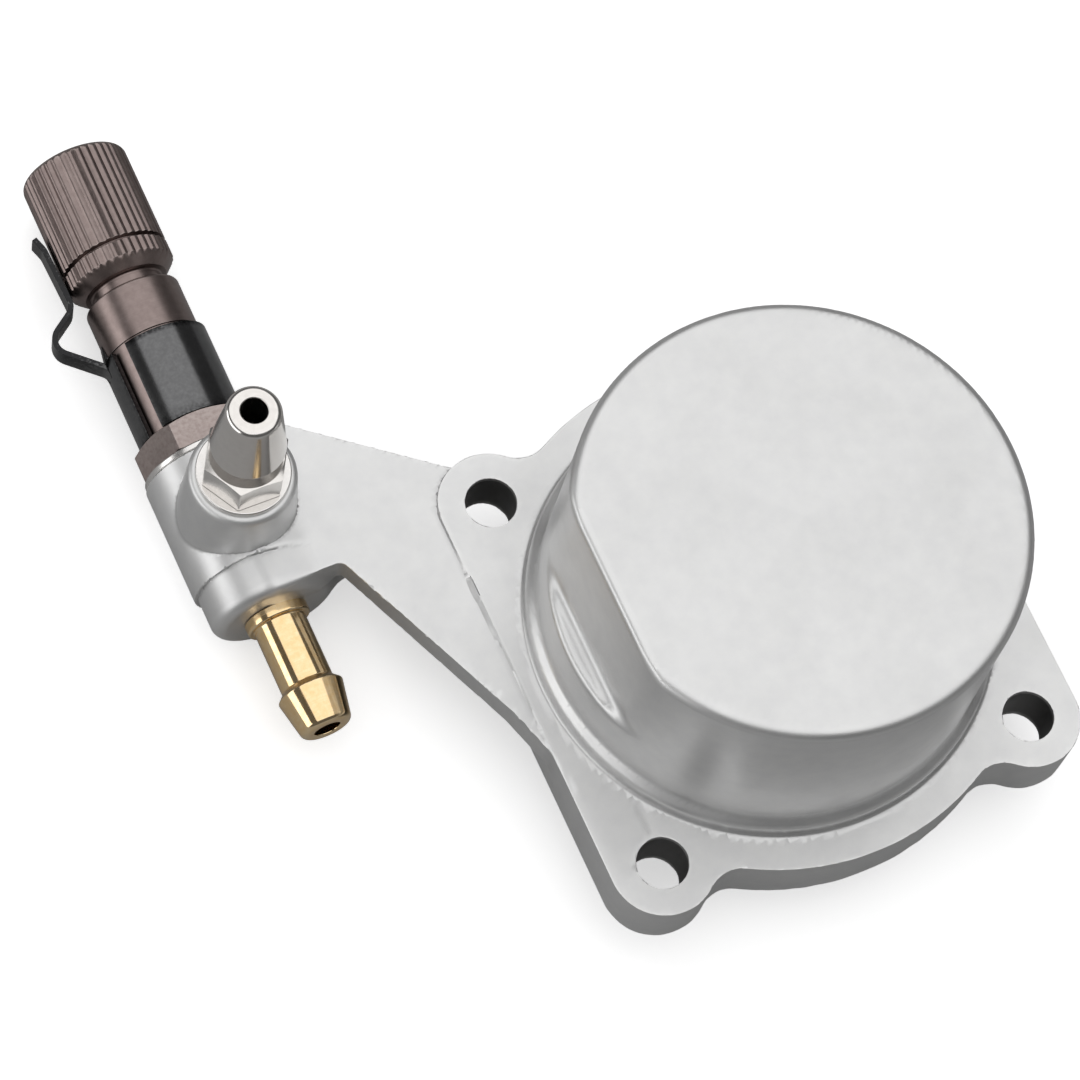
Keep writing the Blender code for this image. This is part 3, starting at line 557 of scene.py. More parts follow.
@dataclass
class RidgeCutter:
    """Geometry Nodes tree that cuts straight or winding ridges into a turned surface."""

    tree: Optional[bpy.types.NodeTree] = None

    INPUTS = (("Ridges", "NodeSocketFloat"), ("Ridges per Length", "NodeSocketFloat"),
              ("Crest Radius", "NodeSocketFloat"), ("Depth", "NodeSocketFloat"),
              ("Crest Width", "NodeSocketFloat"), ("Finish", "NodeSocketMaterial"))
    POLE_GUARD = 1e-5

    def build(self) -> bpy.types.NodeTree:
        """Make the tree, the first time that it is wanted.

        Returns:
            The tree.
        """
        if self.tree:
            return self.tree
        self.tree = bpy.data.node_groups.new("cut_ridges", "GeometryNodeTree")
        face = self.tree.interface
        face.new_socket("Geometry", in_out="INPUT", socket_type="NodeSocketGeometry")
        for name, kind in self.INPUTS:
            face.new_socket(name, in_out="INPUT", socket_type=kind)
        face.new_socket("Geometry", in_out="OUTPUT", socket_type="NodeSocketGeometry")
        bench = NodeBench(self.tree)
        given = bench.node("NodeGroupInput").outputs
        place = bench.node("GeometryNodeInputPosition").outputs[0]
        split = bench.node("ShaderNodeSeparateXYZ")
        bench.join(place, split.inputs[0])
        across, aside, height = split.outputs
        turn = bench.math("DIVIDE", bench.math("ARCTAN2", aside, across), 2.0 * math.pi)
        phase = bench.math("ADD", bench.math("MULTIPLY", turn, given["Ridges"]),
                           bench.math("MULTIPLY", height, given["Ridges per Length"]))
        saw = bench.math("FRACT", bench.math("ADD", phase, 0.5))
        wave = bench.math("ABSOLUTE", bench.math("MULTIPLY_ADD", saw, 2.0, -1.0))
        drop = bench.math("SUBTRACT", wave, given["Crest Width"])
        flank = bench.math("SUBTRACT", 1.0, given["Crest Width"])
        drop = bench.math("DIVIDE", drop, flank, clamp=True)
        depth = bench.math("MULTIPLY", drop, given["Depth"])
        limit = bench.math("SUBTRACT", given["Crest Radius"], depth)
        radius = bench.math("SQRT", bench.math("ADD", bench.math("POWER", across, 2.0),
                                               bench.math("POWER", aside, 2.0)))
        share = bench.math("DIVIDE", bench.math("MINIMUM", radius, limit),
                           bench.math("MAXIMUM", radius, self.POLE_GUARD))
        moved = bench.node("ShaderNodeCombineXYZ")
        bench.join(bench.math("MULTIPLY", across, share), moved.inputs[0])
        bench.join(bench.math("MULTIPLY", aside, share), moved.inputs[1])
        bench.join(height, moved.inputs[2])
        shift = bench.node("GeometryNodeSetPosition")
        bench.join(given["Geometry"], shift.inputs["Geometry"])
        bench.join(moved.outputs[0], shift.inputs["Position"])
        real = bench.node("GeometryNodeRealizeInstances")
        bench.join(shift.outputs[0], real.inputs[0])
        dress = bench.node("GeometryNodeSetMaterial")
        bench.join(real.outputs[0], dress.inputs["Geometry"])
        bench.join(given["Finish"], dress.inputs["Material"])
        bench.join(dress.outputs[0], bench.node("NodeGroupOutput").inputs[0])
        return self.tree

    def cut(
        self, mesh: bpy.types.Mesh, finish: bpy.types.Material, **sizes: float
    ) -> bpy.types.Mesh:
        """Cut ridges into a mesh turned about Z.

        Args:
            mesh: Mesh in lathe millimetres.
            finish: Material that the tree sets.
            sizes: Values for the tree's inputs, with underscores for spaces.

        Returns:
            A plain mesh with the ridges in it.
        """
        item = link_object(mesh.name, mesh)
        step = item.modifiers.new("ridges", "NODES")
        step.node_group = self.build()
        values = {name.replace("_", " "): value for name, value in sizes.items()}
        for socket in self.tree.interface.items_tree:
            if socket.in_out == "INPUT" and socket.name in values:
                step[socket.identifier] = float(values[socket.name])
            elif socket.in_out == "INPUT" and socket.name == "Finish":
                step[socket.identifier] = finish
        return settle(item)


class Pattern(Enum):
    """Marks that a finish carries."""

    CAST = "cast"
    TURNED_NEEDLE = "turned about the needle"
    TURNED_INLET = "turned about the inlet"
    PLAIN = "plain"


class Effects:
    """Shader groups that several finishes share."""

    groups: dict[str, bpy.types.NodeTree] = {}

    VECTORS = ("Vector", "Centre", "Axis")
    PIT_RATIO = 5.0
    PIT_SHARE = 0.65
    MOTTLE_RANGE = (0.32, 0.68)
    BREAK_RANGE = (0.3, 0.62)
    LEAST_WEAR_AND_LIGHT = 0.25
    SMUDGE_RANGE = (0.3, 0.7)

    @classmethod
    def group(
        cls, name: str, inputs: Sequence[str], outputs: Sequence[str]
    ) -> tuple[NodeBench, bpy.types.NodeOutputs, bpy.types.NodeInputs]:
        """Start a shader group that hands out plain values.

        Args:
            name: Group name.
            inputs: Names of what it is given.
            outputs: Names of what it hands out.

        Returns:
            A bench for the group, the sockets it is given and the sockets it hands out.
        """
        tree = bpy.data.node_groups.new(name, "ShaderNodeTree")
        for label in inputs:
            kind = "NodeSocketVector" if label in cls.VECTORS else "NodeSocketFloat"
            tree.interface.new_socket(label, in_out="INPUT", socket_type=kind)
        for label in outputs:
            tree.interface.new_socket(label, in_out="OUTPUT", socket_type="NodeSocketFloat")
        cls.groups[name] = tree
        bench = NodeBench(tree)
        given, out = bench.node("NodeGroupInput"), bench.node("NodeGroupOutput")
        return bench, given.outputs, out.inputs

    @classmethod
    def build(cls) -> None:
        """Make every shared group once."""
        cls.make_grain()
        cls.make_lines()
        cls.make_wear_and_painted_light()
        cls.make_handling()

    @classmethod
    def make_grain(cls) -> None:
        """Make the fine mottle and grain of a tumbled casting."""
        bench, given, out = cls.group("surface_grain", ("Vector", "Scale"), ("Mottle", "Grain"))
        mottle = bench.noise(given["Vector"], given["Scale"], 4.0)
        bench.join(bench.spread(mottle, *cls.MOTTLE_RANGE, 0.0, 1.0), out["Mottle"])
        fine = bench.math("MULTIPLY", given["Scale"], cls.PIT_RATIO)
        pits = bench.noise(given["Vector"], fine, 3.0, 0.6)
        pits = bench.math("MULTIPLY", pits, cls.PIT_SHARE)
        bench.join(bench.math("MULTIPLY_ADD", mottle, 1.0 - cls.PIT_SHARE, pits), out["Grain"])

    @classmethod
    def make_lines(cls) -> None:
        """Make the fine rings that a turning tool leaves round an axis."""
        bench, given, out = cls.group(
            "turning_lines", ("Vector", "Centre", "Axis", "Scale"), ("Lines",))
        offset = bench.vector("SUBTRACT", given["Vector"], given["Centre"])
        along = bench.vector("DOT_PRODUCT", offset, given["Axis"], output=1)
        flat = bench.vector("SUBTRACT", offset, bench.vector("SCALE", given["Axis"], along))
        radius = bench.vector("LENGTH", flat, output=1)
        pair = bench.node("ShaderNodeCombineXYZ")
        bench.join(along, pair.inputs[0])
        bench.join(radius, pair.inputs[1])
        bench.join(bench.noise(pair.outputs[0], given["Scale"], 3.0, 0.7), out["Lines"])

    @classmethod
    def make_wear_and_painted_light(cls) -> None:
        """Make the broken mask along convex edges. It carries rubbed wear, a painted highlight on
        the cast body's edges and painted shade on the spring.
        """
        bench, given, out = cls.group("edge_wear_and_painted_light", ("Vector", "Scale", "Amount"), ("Mask",))
        edge = bench.node("ShaderNodeAttribute", attribute_name="edge").outputs["Fac"]
        broken = bench.noise(given["Vector"], given["Scale"], 3.0)
        broken = bench.spread(broken, *cls.BREAK_RANGE, cls.LEAST_WEAR_AND_LIGHT, 1.0)
        worn_and_painted_light = bench.math("MULTIPLY", edge, broken)
        bench.join(bench.math("MULTIPLY", worn_and_painted_light, given["Amount"], clamp=True), out["Mask"])

    @classmethod
    def make_handling(cls) -> None:
        """Make the soft uneven sheen that handling leaves."""
        bench, given, out = cls.group("handling", ("Vector", "Scale"), ("Smudge",))
        warp = bench.noise(given["Vector"], given["Scale"], 2.0)
        shift = bench.vector("SCALE", given["Vector"], warp)
        twist = bench.vector("ADD", given["Vector"], shift)
        cloud = bench.noise(twist, given["Scale"], 5.0, 0.6)
        bench.join(bench.spread(cloud, *cls.SMUDGE_RANGE, 0.0, 1.0), out["Smudge"])


@dataclass(frozen=True)
class Finish:
    """Surface finish of one material slot."""

    slot: str
    colour: Colour
    shade: Colour
    # Edge colour: rubbed wear, and on the casting and spring painted highlight and painted shade.
    worn_and_painted_light: Colour
    roughness: tuple[float, float]
    pattern: Pattern
    metallic: float = 1.0
    grain_scale: float = 2500.0
    wear_and_light: float = 0.5
    bump: float = 0.1
    bump_depth: float = 0.01

    # Near-black painted shade for concave corners and the walls of the screw holes.
    PAINTED_SHADE = (0.06, 0.055, 0.055)
    PAINTED_SHADE_MASKS = (("corner", 0.15), ("drilled", 0.85))
    SMUDGE_RATIO = 0.12
    WEAR_AND_LIGHT_RATIO = 2.0
    LINE_SCALE = 9000.0
    LINE_RANGE = (0.35, 0.65)
    LINE_SHARE = 0.5

    @staticmethod
    def place(
        bench: NodeBench, name: str, vector: bpy.types.NodeSocket, **values: object
    ) -> bpy.types.Node:
        """Place a shared group in a material.

        Args:
            bench: Bench of the material.
            name: Group name.
            vector: Coordinates that the group reads.
            values: Values for the group's other inputs.

        Returns:
            The group's node.
        """
        made = bench.node("ShaderNodeGroup", node_tree=Effects.groups[name])
        bench.join(vector, made.inputs["Vector"])
        for label, value in values.items():
            bench.join(value, made.inputs[label])
        return made

    def turned_lines(
        self, bench: NodeBench, vector: bpy.types.NodeSocket
    ) -> Optional[bpy.types.NodeSocket]:
        """Place the turning lines about the finish's axis.

        Args:
            bench: Bench of the material.
            vector: Coordinates that the lines read.

        Returns:
            Their height, or nothing if the finish isn't turned.
        """
        if self.pattern not in (Pattern.TURNED_NEEDLE, Pattern.TURNED_INLET):
            return None
        about_needle = self.pattern is Pattern.TURNED_NEEDLE
        level = PLACES.needle_z - PLACES.plug_height
        centre = Vector((PLACES.needle_x, 0.0 if about_needle else PLACES.inlet_y, level)) * MM
        axis = (0.0, 1.0, 0.0) if about_needle else (0.0, 0.0, 1.0)
        lines = self.place(
            bench, "turning_lines", vector, Centre=centre, Scale=self.LINE_SCALE, Axis=axis)
        return lines.outputs["Lines"]

    def material(self) -> bpy.types.Material:
        """Return the finish as a node material.

        Returns:
            The material, made once for each slot.
        """
        name = f"{self.slot}_finish"
        if name in bpy.data.materials:
            return bpy.data.materials[name]
        made = bpy.data.materials.new(name)
        made.use_nodes = True
        bench = NodeBench(made.node_tree)
        shader = made.node_tree.nodes["Principled BSDF"]
        shader.inputs["Metallic"].default_value = self.metallic
        vector = bench.node("ShaderNodeTexCoord").outputs["Object"]
        scale = self.grain_scale
        grain = self.place(bench, "surface_grain", vector, Scale=scale)
        smudge = self.place(bench, "handling", vector, Scale=self.SMUDGE_RATIO * scale)
        wear_and_light = self.place(
            bench, "edge_wear_and_painted_light", vector, Scale=self.WEAR_AND_LIGHT_RATIO * scale, Amount=self.wear_and_light)
        colour = bench.blend(grain.outputs["Mottle"], self.colour, self.shade)
        height = grain.outputs["Grain"]
        lines = self.turned_lines(bench, vector)
        if lines:
            height = lines
            share = bench.spread(lines, *self.LINE_RANGE, 0.0, self.LINE_SHARE)
            colour = bench.blend(share, colour, self.shade)
        # Edge colour: rubbed wear on turned parts, a painted highlight along the cast body's edges
        # and painted shade on the spring's band edges and leaf.
        colour = bench.blend(wear_and_light.outputs["Mask"], colour, self.worn_and_painted_light)
        # Painted shade: darken concave corners and the screw holes' walls towards near-black.
        if self.pattern is Pattern.CAST:
            for label, strength in self.PAINTED_SHADE_MASKS:
                mask = bench.node("ShaderNodeAttribute", attribute_name=label).outputs["Fac"]
                colour = bench.blend(bench.math("MULTIPLY", mask, strength), colour, self.PAINTED_SHADE)
        bench.join(colour, shader.inputs["Base Color"])
        roughness = bench.spread(smudge.outputs["Smudge"], 0.0, 1.0, *self.roughness)
        bench.join(roughness, shader.inputs["Roughness"])
        bump = bench.node("ShaderNodeBump")
        bump.inputs["Strength"].default_value = self.bump
        bump.inputs["Distance"].default_value = self.bump_depth * MM
        bench.join(height, bump.inputs["Height"])
        bench.join(bump.outputs[0], shader.inputs["Normal"])
        return made


# Its lighter edge colour is a painted highlight along the casting's edges.
CAST_ALUMINIUM = Finish(
    "cast_body", (0.75, 0.75, 0.745), (0.715, 0.715, 0.715), (0.84, 0.84, 0.83), (0.38, 0.48),
    Pattern.CAST, metallic=0.92, grain_scale=900.0, bump=0.2, bump_depth=0.02)
GUNMETAL = Finish(
    "gunmetal", (0.31, 0.25, 0.235), (0.25, 0.198, 0.186), (0.6, 0.53, 0.5), (0.29, 0.36),
    Pattern.TURNED_NEEDLE, grain_scale=2200.0, wear_and_light=0.55, bump=0.12, bump_depth=0.012)
BRIGHT_RING = Finish(
    "bright_washer", (0.84, 0.82, 0.80), (0.77, 0.75, 0.73), (0.92, 0.9, 0.88), (0.2, 0.28),
    Pattern.TURNED_NEEDLE)
# Its near-black edge colour, laid on strongly, is painted shade on the band's edges and the leaf.
BLACK_SPRING = Finish(
    "black_spring", (0.17, 0.17, 0.172), (0.148, 0.148, 0.15), (0.03, 0.03, 0.031), (0.16, 0.22),
    Pattern.PLAIN, grain_scale=2600.0, wear_and_light=2.0, bump=0.08)
NICKEL = Finish(
    "nickel", (0.80, 0.77, 0.74), (0.74, 0.71, 0.68), (0.9, 0.88, 0.86), (0.14, 0.2),
    Pattern.TURNED_INLET, wear_and_light=0.4, bump=0.06, bump_depth=0.008)
BRASS = Finish(
    "brass", (0.99, 0.79, 0.50), (0.93, 0.65, 0.33), (0.98, 0.88, 0.66), (0.08, 0.13),
    Pattern.TURNED_NEEDLE, bump=0.08, bump_depth=0.008)
NEEDLE_STEEL = Finish(
    "needle_steel", (0.58, 0.58, 0.59), (0.5, 0.5, 0.51), (0.75, 0.75, 0.76), (0.2, 0.3),
    Pattern.TURNED_NEEDLE)
SEAL_RUBBER = Finish(
    "seal_rubber", (0.022, 0.022, 0.022), (0.03, 0.03, 0.03), (0.05, 0.05, 0.05), (0.55, 0.7),
    Pattern.PLAIN, metallic=0.0, grain_scale=3000.0, wear_and_light=0.3, bump=0.2)


def add_piece(name: str, mesh: bpy.types.Mesh, finish: Finish, body: Body, node: str) -> None:
    """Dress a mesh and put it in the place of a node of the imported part.

    Args:
        name: Piece name.
        mesh: Finished mesh, with its place in it.
        finish: Finish that it gets.
        body: Body that it rides on.
        node: Node that it stands for.
    """
    mesh.materials.clear()
    mesh.materials.append(finish.material())
    item = link_object(name, mesh)
    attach(item, body.value)
    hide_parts(node)
    LOG.info("%s: %d faces on body %s", name, len(mesh.polygons), body.value)


@dataclass(frozen=True)
class Washer:
    """Bright ring under a hexagon."""

    name: str
    node: str
    inner: float
    outer: float
    low: float
    thickness: float
    inner_round: float
    outer_round: float

    def build(self, axis: Axis) -> None:
        """Turn the ring and add it to the cover.

        Args:
            axis: Axis that it is turned about.
        """
        high = self.low + self.thickness
        lathe = Lathe(self.name).add([
            (self.inner, self.low, self.inner_round), (self.outer, self.low, self.outer_round),
            (self.outer, high, self.outer_round), (self.inner, high, self.inner_round),
        ], closed=True)
        mesh = lathe.mesh(axis.matrix(), closed=True)
        add_piece(self.name, mesh, BRIGHT_RING, Body.COVER, self.node)


def cut_round(first: np.ndarray, second: np.ndarray, radius: float) -> np.ndarray:
    """Return the distance to what lies in both shapes, with a round edge between them."""
    edge = np.hypot(np.maximum(first + radius, 0.0), np.maximum(second + radius, 0.0))
    return np.minimum(np.maximum(first, second), -radius) + edge


def join_round(first: np.ndarray, second: np.ndarray, radius: float) -> np.ndarray:
    """Return the distance to two shapes together, with a fillet between them."""
    return -cut_round(-first, -second, radius)


def polygon_distance(x: np.ndarray, y: np.ndarray, outline: np.ndarray) -> np.ndarray:
    """Measure the signed distance in a plane to a closed outline.

    Args:
        x: First coordinates.
        y: Second coordinates.
        outline: Corners of the outline, one row each.

    Returns:
        The signed distances, negative inside.
    """
    nearest = np.full(np.broadcast(x, y).shape, np.inf)
    inside = np.zeros(nearest.shape, bool)
    for (ax, ay), (bx, by) in zip(outline, np.roll(outline, -1, axis=0)):
        ex, ey = bx - ax, by - ay
        share = np.clip(((x - ax) * ex + (y - ay) * ey) / (ex * ex + ey * ey), 0.0, 1.0)
        nearest = np.minimum(nearest, np.hypot(x - ax - ex * share, y - ay - ey * share))
        if ey:
            inside ^= ((ay > y) != (by > y)) & (x < ax + (y - ay) * ex / ey)
    return np.where(inside, -nearest, nearest)


@dataclass
class SkinMaker:
    """Turns a distance function into a closed mesh of even quads that lie on its surface."""

    distance: Distance
    low: tuple[float, float, float]
    high: tuple[float, float, float]
    step: float
    fine_zones: tuple[tuple[float, float], ...]
    fine_step: float
    probe: float = 0.02
    hold: float = 0.03
    slack: float = 0.1
    settle_rounds: int = 4
    inset: float = 0.6
    crease: float = math.radians(20.0)
    bend_start: float = 0.6
    bend_range: float = 3.0

    def grid(self) -> list[np.ndarray]:
        """Lay out the grid, closer together inside the fine zones.

        Returns:
            The grid lines along each axis.
        """
        grids = []
        for low, high, (start, end) in zip(self.low, self.high, self.fine_zones):
            runs = [np.linspace(first, last, math.ceil((last - first) / step), endpoint=False)
                    for first, last, step in ((low, start, self.step), (start, end, self.fine_step),
                                              (end, high, self.step))]
            grids.append(np.concatenate([*runs, [high]]))
        return grids

    def gradient(self, places: np.ndarray) -> np.ndarray:
        """Find the direction in which the distance grows.

        Args:
            places: Places to look at, one row each.

        Returns:
            Unit directions.
        """
        slopes = []
        for axis in range(3):
            nudge = np.zeros(3)
            nudge[axis] = self.probe
            slopes.append(self.distance(*(places + nudge).T) - self.distance(*(places - nudge).T))
        return unit_rows(np.stack(slopes, 1))

    def bend(self, places: np.ndarray, reach: float) -> np.ndarray:
        """Measure how sharply the surface bends.

        Args:
            places: Places on the surface, one row each.
            reach: Distance to look to each side.

        Returns:
            The bends, positive on convex edges.
        """
        total = -6.0 * self.distance(*places.T)
        for axis in range(3):
            for side in (-reach, reach):
                nudge = np.zeros(3)
                nudge[axis] = side
                total = total + self.distance(*(places + nudge).T)
        return total / reach ** 2

    def cells(self) -> tuple[np.ndarray, np.ndarray]:
        """Find one point in each grid cell that the surface crosses, and the quads between them.

        Each point is where the planes at the cell's crossings meet best, so edges stay straight.

        Returns:
            Places of the points and vertex numbers of the quads.
        """
        lines = self.grid()
        x, y, z = lines
        depth = self.distance(x[:, None, None], y[None, :, None], z[None, None, :])
        inside = depth < 0.0
        shape = tuple(size - 1 for size in depth.shape)
        full = np.zeros(shape, np.uint8)
        for i, j, k in np.ndindex(2, 2, 2):
            full += inside[i:i + shape[0], j:j + shape[1], k:k + shape[2]]
        active = (full > 0) & (full < 8)
        number = np.full(shape, -1, np.int32)
        number[active] = np.arange(np.count_nonzero(active))
        crossings = [self.cross(depth, inside, number, lines, axis) for axis in range(3)]
        points = np.concatenate([np.repeat(found, 4, axis=0) for found, _ in crossings])
        normals = np.concatenate(
            [np.repeat(self.gradient(found), 4, axis=0) for found, _ in crossings])
        quads = np.concatenate([cells for _, cells in crossings])
        owner = quads.ravel()
        count = int(number.max()) + 1
        hits = np.bincount(owner, minlength=count)

        def gather(values: np.ndarray) -> np.ndarray:
            """Return the sum of the values at each cell's crossings."""
            return np.bincount(owner, values, minlength=count)

        middle = np.stack([gather(points[:, axis]) / hits for axis in range(3)], 1)
        reach = np.einsum("ij,ij->i", normals, points - middle[owner])
        pull = np.stack([gather(normals[:, axis] * reach) for axis in range(3)], 1)
        planes = np.empty((count, 3, 3))
        for row, column in np.ndindex(3, 3):
            product = gather(normals[:, row] * normals[:, column])
            planes[:, row, column] = product + (row == column) * self.hold
        shift = np.linalg.solve(planes, pull[:, :, None])[:, :, 0]
        active_cells = np.nonzero(active)
        corner = np.stack([line[place] for line, place in zip(lines, active_cells)], 1)
        size = np.stack([np.diff(line)[place] for line, place in zip(lines, active_cells)], 1)
        slack = self.slack * size
        return np.clip(middle + shift, corner - slack, corner + size + slack), quads

    @staticmethod
    def cross(
        depth: np.ndarray, inside: np.ndarray, number: np.ndarray, lines: list[np.ndarray],
        axis: int,
    ) -> tuple[np.ndarray, np.ndarray]:
        """Find where the surface crosses the grid lines along one axis.

        Args:
            depth: Distances at the grid's corners.
            inside: Which corners lie inside.
            number: Vertex number of each cell.
            lines: Grid lines along each axis.
            axis: Axis to look along.

        Returns:
            The crossing points, and for each the four cells round it, facing outwards.
        """
        order = [axis] + [other for other in range(3) if other != axis]
        depth, inside, cells = (np.transpose(block, order) for block in (depth, inside, number))
        first, second = inside[:-1, 1:-1, 1:-1], inside[1:, 1:-1, 1:-1]
        row, near, far = np.nonzero(first != second)
        low, high = depth[row, near + 1, far + 1], depth[row + 1, near + 1, far + 1]
        points = np.empty((len(row), 3))
        along = lines[axis]
        points[:, axis] = along[row] + (along[row + 1] - along[row]) * low / (low - high)
        points[:, order[1]] = lines[order[1]][near + 1]
        points[:, order[2]] = lines[order[2]][far + 1]
        quads = np.stack([cells[row, near, far], cells[row, near + 1, far],
                          cells[row, near + 1, far + 1], cells[row, near, far + 1]], 1)
        outward = first[row, near, far]
        flip = outward if axis == 1 else ~outward
        quads[flip] = quads[flip][:, ::-1]
        return points, quads

    def mesh(self, name: str, lift: float) -> bpy.types.Mesh:
        """Build the mesh.

        Args:
            name: Mesh name.
            lift: Height taken off every place, in millimetres.

        Returns:
            The mesh in metres, with exact normals and masks for its edges and corners.
        """
        places, quads = self.cells()
        half = 0.5 * self.step
        for _ in range(self.settle_rounds):
            shift = np.clip(self.distance(*places.T), -half, half)
            places = places - shift[:, None] * self.gradient(places)
        bend = self.bend(places, half)
        mesh = raw_mesh(name, (places - np.array([0.0, 0.0, lift])) * MM, quads)
        # The edge mask feeds rubbed wear and painted edge light; the corner mask feeds painted
        # shade in concave creases.
        for mask, turn in (("edge", bend), ("corner", -bend)):
            set_mask(mesh, mask, np.clip((turn - self.bend_start) / self.bend_range, 0.0, 1.0))
        mesh.normals_split_custom_set(self.corner_normals(places, quads).tolist())
        return mesh

    def corner_normals(self, places: np.ndarray, quads: np.ndarray) -> np.ndarray:
        """Return a normal for each corner of each quad.

        Args:
            places: Vertex places.
            quads: Vertex numbers of the quads.

        Returns:
            The surface's own normal where it is smooth. On creases it is the normal just inside the
            quad, or the quad's own where it bridges the crease.
        """
        corners = places[quads]
        inner = corners + self.inset * (corners.mean(axis=1, keepdims=True) - corners)
        sides = self.gradient(inner.reshape(-1, 3))
        flat = np.cross(corners[:, 2] - corners[:, 0], corners[:, 3] - corners[:, 1])
        flat = np.repeat(unit_rows(flat), 4, axis=0)
        bridges = np.einsum("ij,ij->i", sides, flat) < math.cos(self.crease)
        sides = np.where(bridges[:, None], flat, sides)
        smooth = self.gradient(places)[quads.ravel()]
        creased = np.einsum("ij,ij->i", sides, smooth) < math.cos(self.crease)
        return np.where(creased[:, None], sides, smooth)


@dataclass
class RearCover:
    """One-piece casting: plug, flange with four ears, arm, needle boss and inlet pad."""

    plug_top_radius: float = 13.8
    plug_base_radius: float = 13.95
    plug_edge: float = 0.7
    flat_distance: float = 12.55
    ledge_height: float = 5.7
    register_radius: float = 14.55
    register_height: float = 1.3
    flange_thickness: float = 4.0
    ring_radius: float = 16.75
    hole_pitch: float = 25.0
    hole_radius: float = 1.6
    ear_radius: float = 3.3
    ear_fillet: float = 2.2
    boss_radius: float = 4.2
    boss_step: float = 14.7
    boss_end_radius: float = 3.95
    boss_end_round: float = 0.8
    boss_overlap: float = 1.0
    arm_drop: float = 0.26
    arm_floor: float = 2.2
    fade_start: float = -6.0
    fade_length: float = 16.0
    fade_least: float = 0.15
    pad_base_radius: float = 3.85
    pad_top_radius: float = 3.3
    pad_edge: float = 0.4
    flat_foot_round: float = 0.7
    flat_edge: float = 0.45
    register_round: float = 0.55
    hollow_floor: float = 12.9
    hollow_deep_radius: float = 11.65
    hollow_mouth_radius: float = 12.35
    hollow_round: float = 1.5
    hollow_step_round: float = 0.8
    hollow_edge: float = 0.6
    flat_wall_extra: float = 0.35
    end_wall: float = 2.0
    holder_bore: float = 2.5
    chamber_radius: float = 1.6
    outlet_bore: float = 1.75
    inlet_bore: float = 1.5
    passage_radius: float = 0.9
    passage_rise: float = 0.5
    base_fillet: float = 0.35
    boss_fillet: float = 0.9
    seam_fillet: float = 0.1
    crisp: float = 0.06
    mask_reach: float = 0.08
    mask_core: float = 1.5
    mask_inset: float = 0.15
    mask_fade: float = 0.2
    grid_step: float = 0.335
    fine_step: float = 0.157

    SKIN_LOW = (-31.4, -17.2, -8.7)
    SKIN_HIGH = (16.3, 22.8, 15.3)
    FINE_ZONES = ((-31.2, -22.0), (11.7, 22.6), (-2.6, 0.45))
    ARM_CORNERS = (
        (-12.5, 15.2, 0.0), (-13.2, 15.2, 0.3), (-22.2, 22.05, 0.6),
        (PLACES.needle_x, 22.05, 0.0), (PLACES.needle_x, 12.35, 0.0), (-22.5, 12.35, 0.6),
        (-15.3, -3.9, 20.0), (-15.3, -12.5, 0.0), (-12.5, -12.5, 0.0))
    WEDGE_CORNERS = ((-21.0, -0.6), (PLACES.needle_x, -0.6), (PLACES.needle_x, -6.3),
                     (-24.7, -6.3), (-21.0, -3.8))
    WEDGE_SPAN = (12.65, 20.4)

    def flange(self, x: np.ndarray, y: np.ndarray, z: np.ndarray) -> np.ndarray:
        """Measure the flange, whose ears blend into its ring.

        Args:
            x: Places across, in millimetres.
            y: Places along the needle.
            z: Heights above the seat face.

        Returns:
            The signed distances, negative inside.
        """
        px, py = np.abs(x), np.abs(y)
        half = 0.5 * self.hole_pitch
        side = px - half - self.ear_radius
        ring = np.maximum(np.hypot(px, py) - self.ring_radius, side)
        ear = np.hypot(px - half, py - half) - self.ear_radius
        outline = np.minimum(np.minimum(np.maximum(side, py - half), ring), ear)
        to_ring, to_ear = self.ring_radius + self.ear_fillet, self.ear_radius + self.ear_fillet
        reach = half * math.sqrt(2.0)
        lean = math.acos((to_ring ** 2 + reach ** 2 - to_ear ** 2) / (2.0 * to_ring * reach))
        turn = 0.25 * math.pi + lean
        fx, fy = to_ring * math.cos(turn), to_ring * math.sin(turn)
        web = self.ear_fillet - np.hypot(px - fx, py - fy)
        spots = ((0.0, 0.0), (half, half), (fx, fy))
        for (ax, ay), (bx, by) in zip(spots, (*spots[1:], spots[0])):
            length = math.hypot(bx - ax, by - ay)
            web = np.maximum(web, ((px - ax) * (by - ay) - (py - ay) * (bx - ax)) / length)
        outline = np.minimum(outline, web)
        middle = 0.5 * self.flange_thickness
        return cut_round(outline, np.abs(z + middle) - middle, self.crisp)

    def plug(self, x: np.ndarray, y: np.ndarray, z: np.ndarray) -> np.ndarray:
        """Measure the plug with its register and side flat.

        Args:
            x: Places across, in millimetres.
            y: Places along the needle.
            z: Heights above the seat face.

        Returns:
            The signed distances, negative inside.
        """
        rim = np.hypot(x, y)
        slope = (self.plug_top_radius - self.plug_base_radius) / PLACES.plug_height
        side = rim - self.plug_base_radius - slope * z
        wall = cut_round(side, z - PLACES.plug_height, self.plug_edge)
        beside_flat = join_round(
            -x - self.flat_distance, z - self.ledge_height, self.flat_foot_round)
        wall = cut_round(wall, beside_flat, self.flat_edge)
        register = cut_round(
            rim - self.register_radius, z - self.register_height, self.register_round)
        whole = join_round(wall, register, self.register_round)
        return np.maximum(whole, -z - 0.5 * self.flange_thickness)

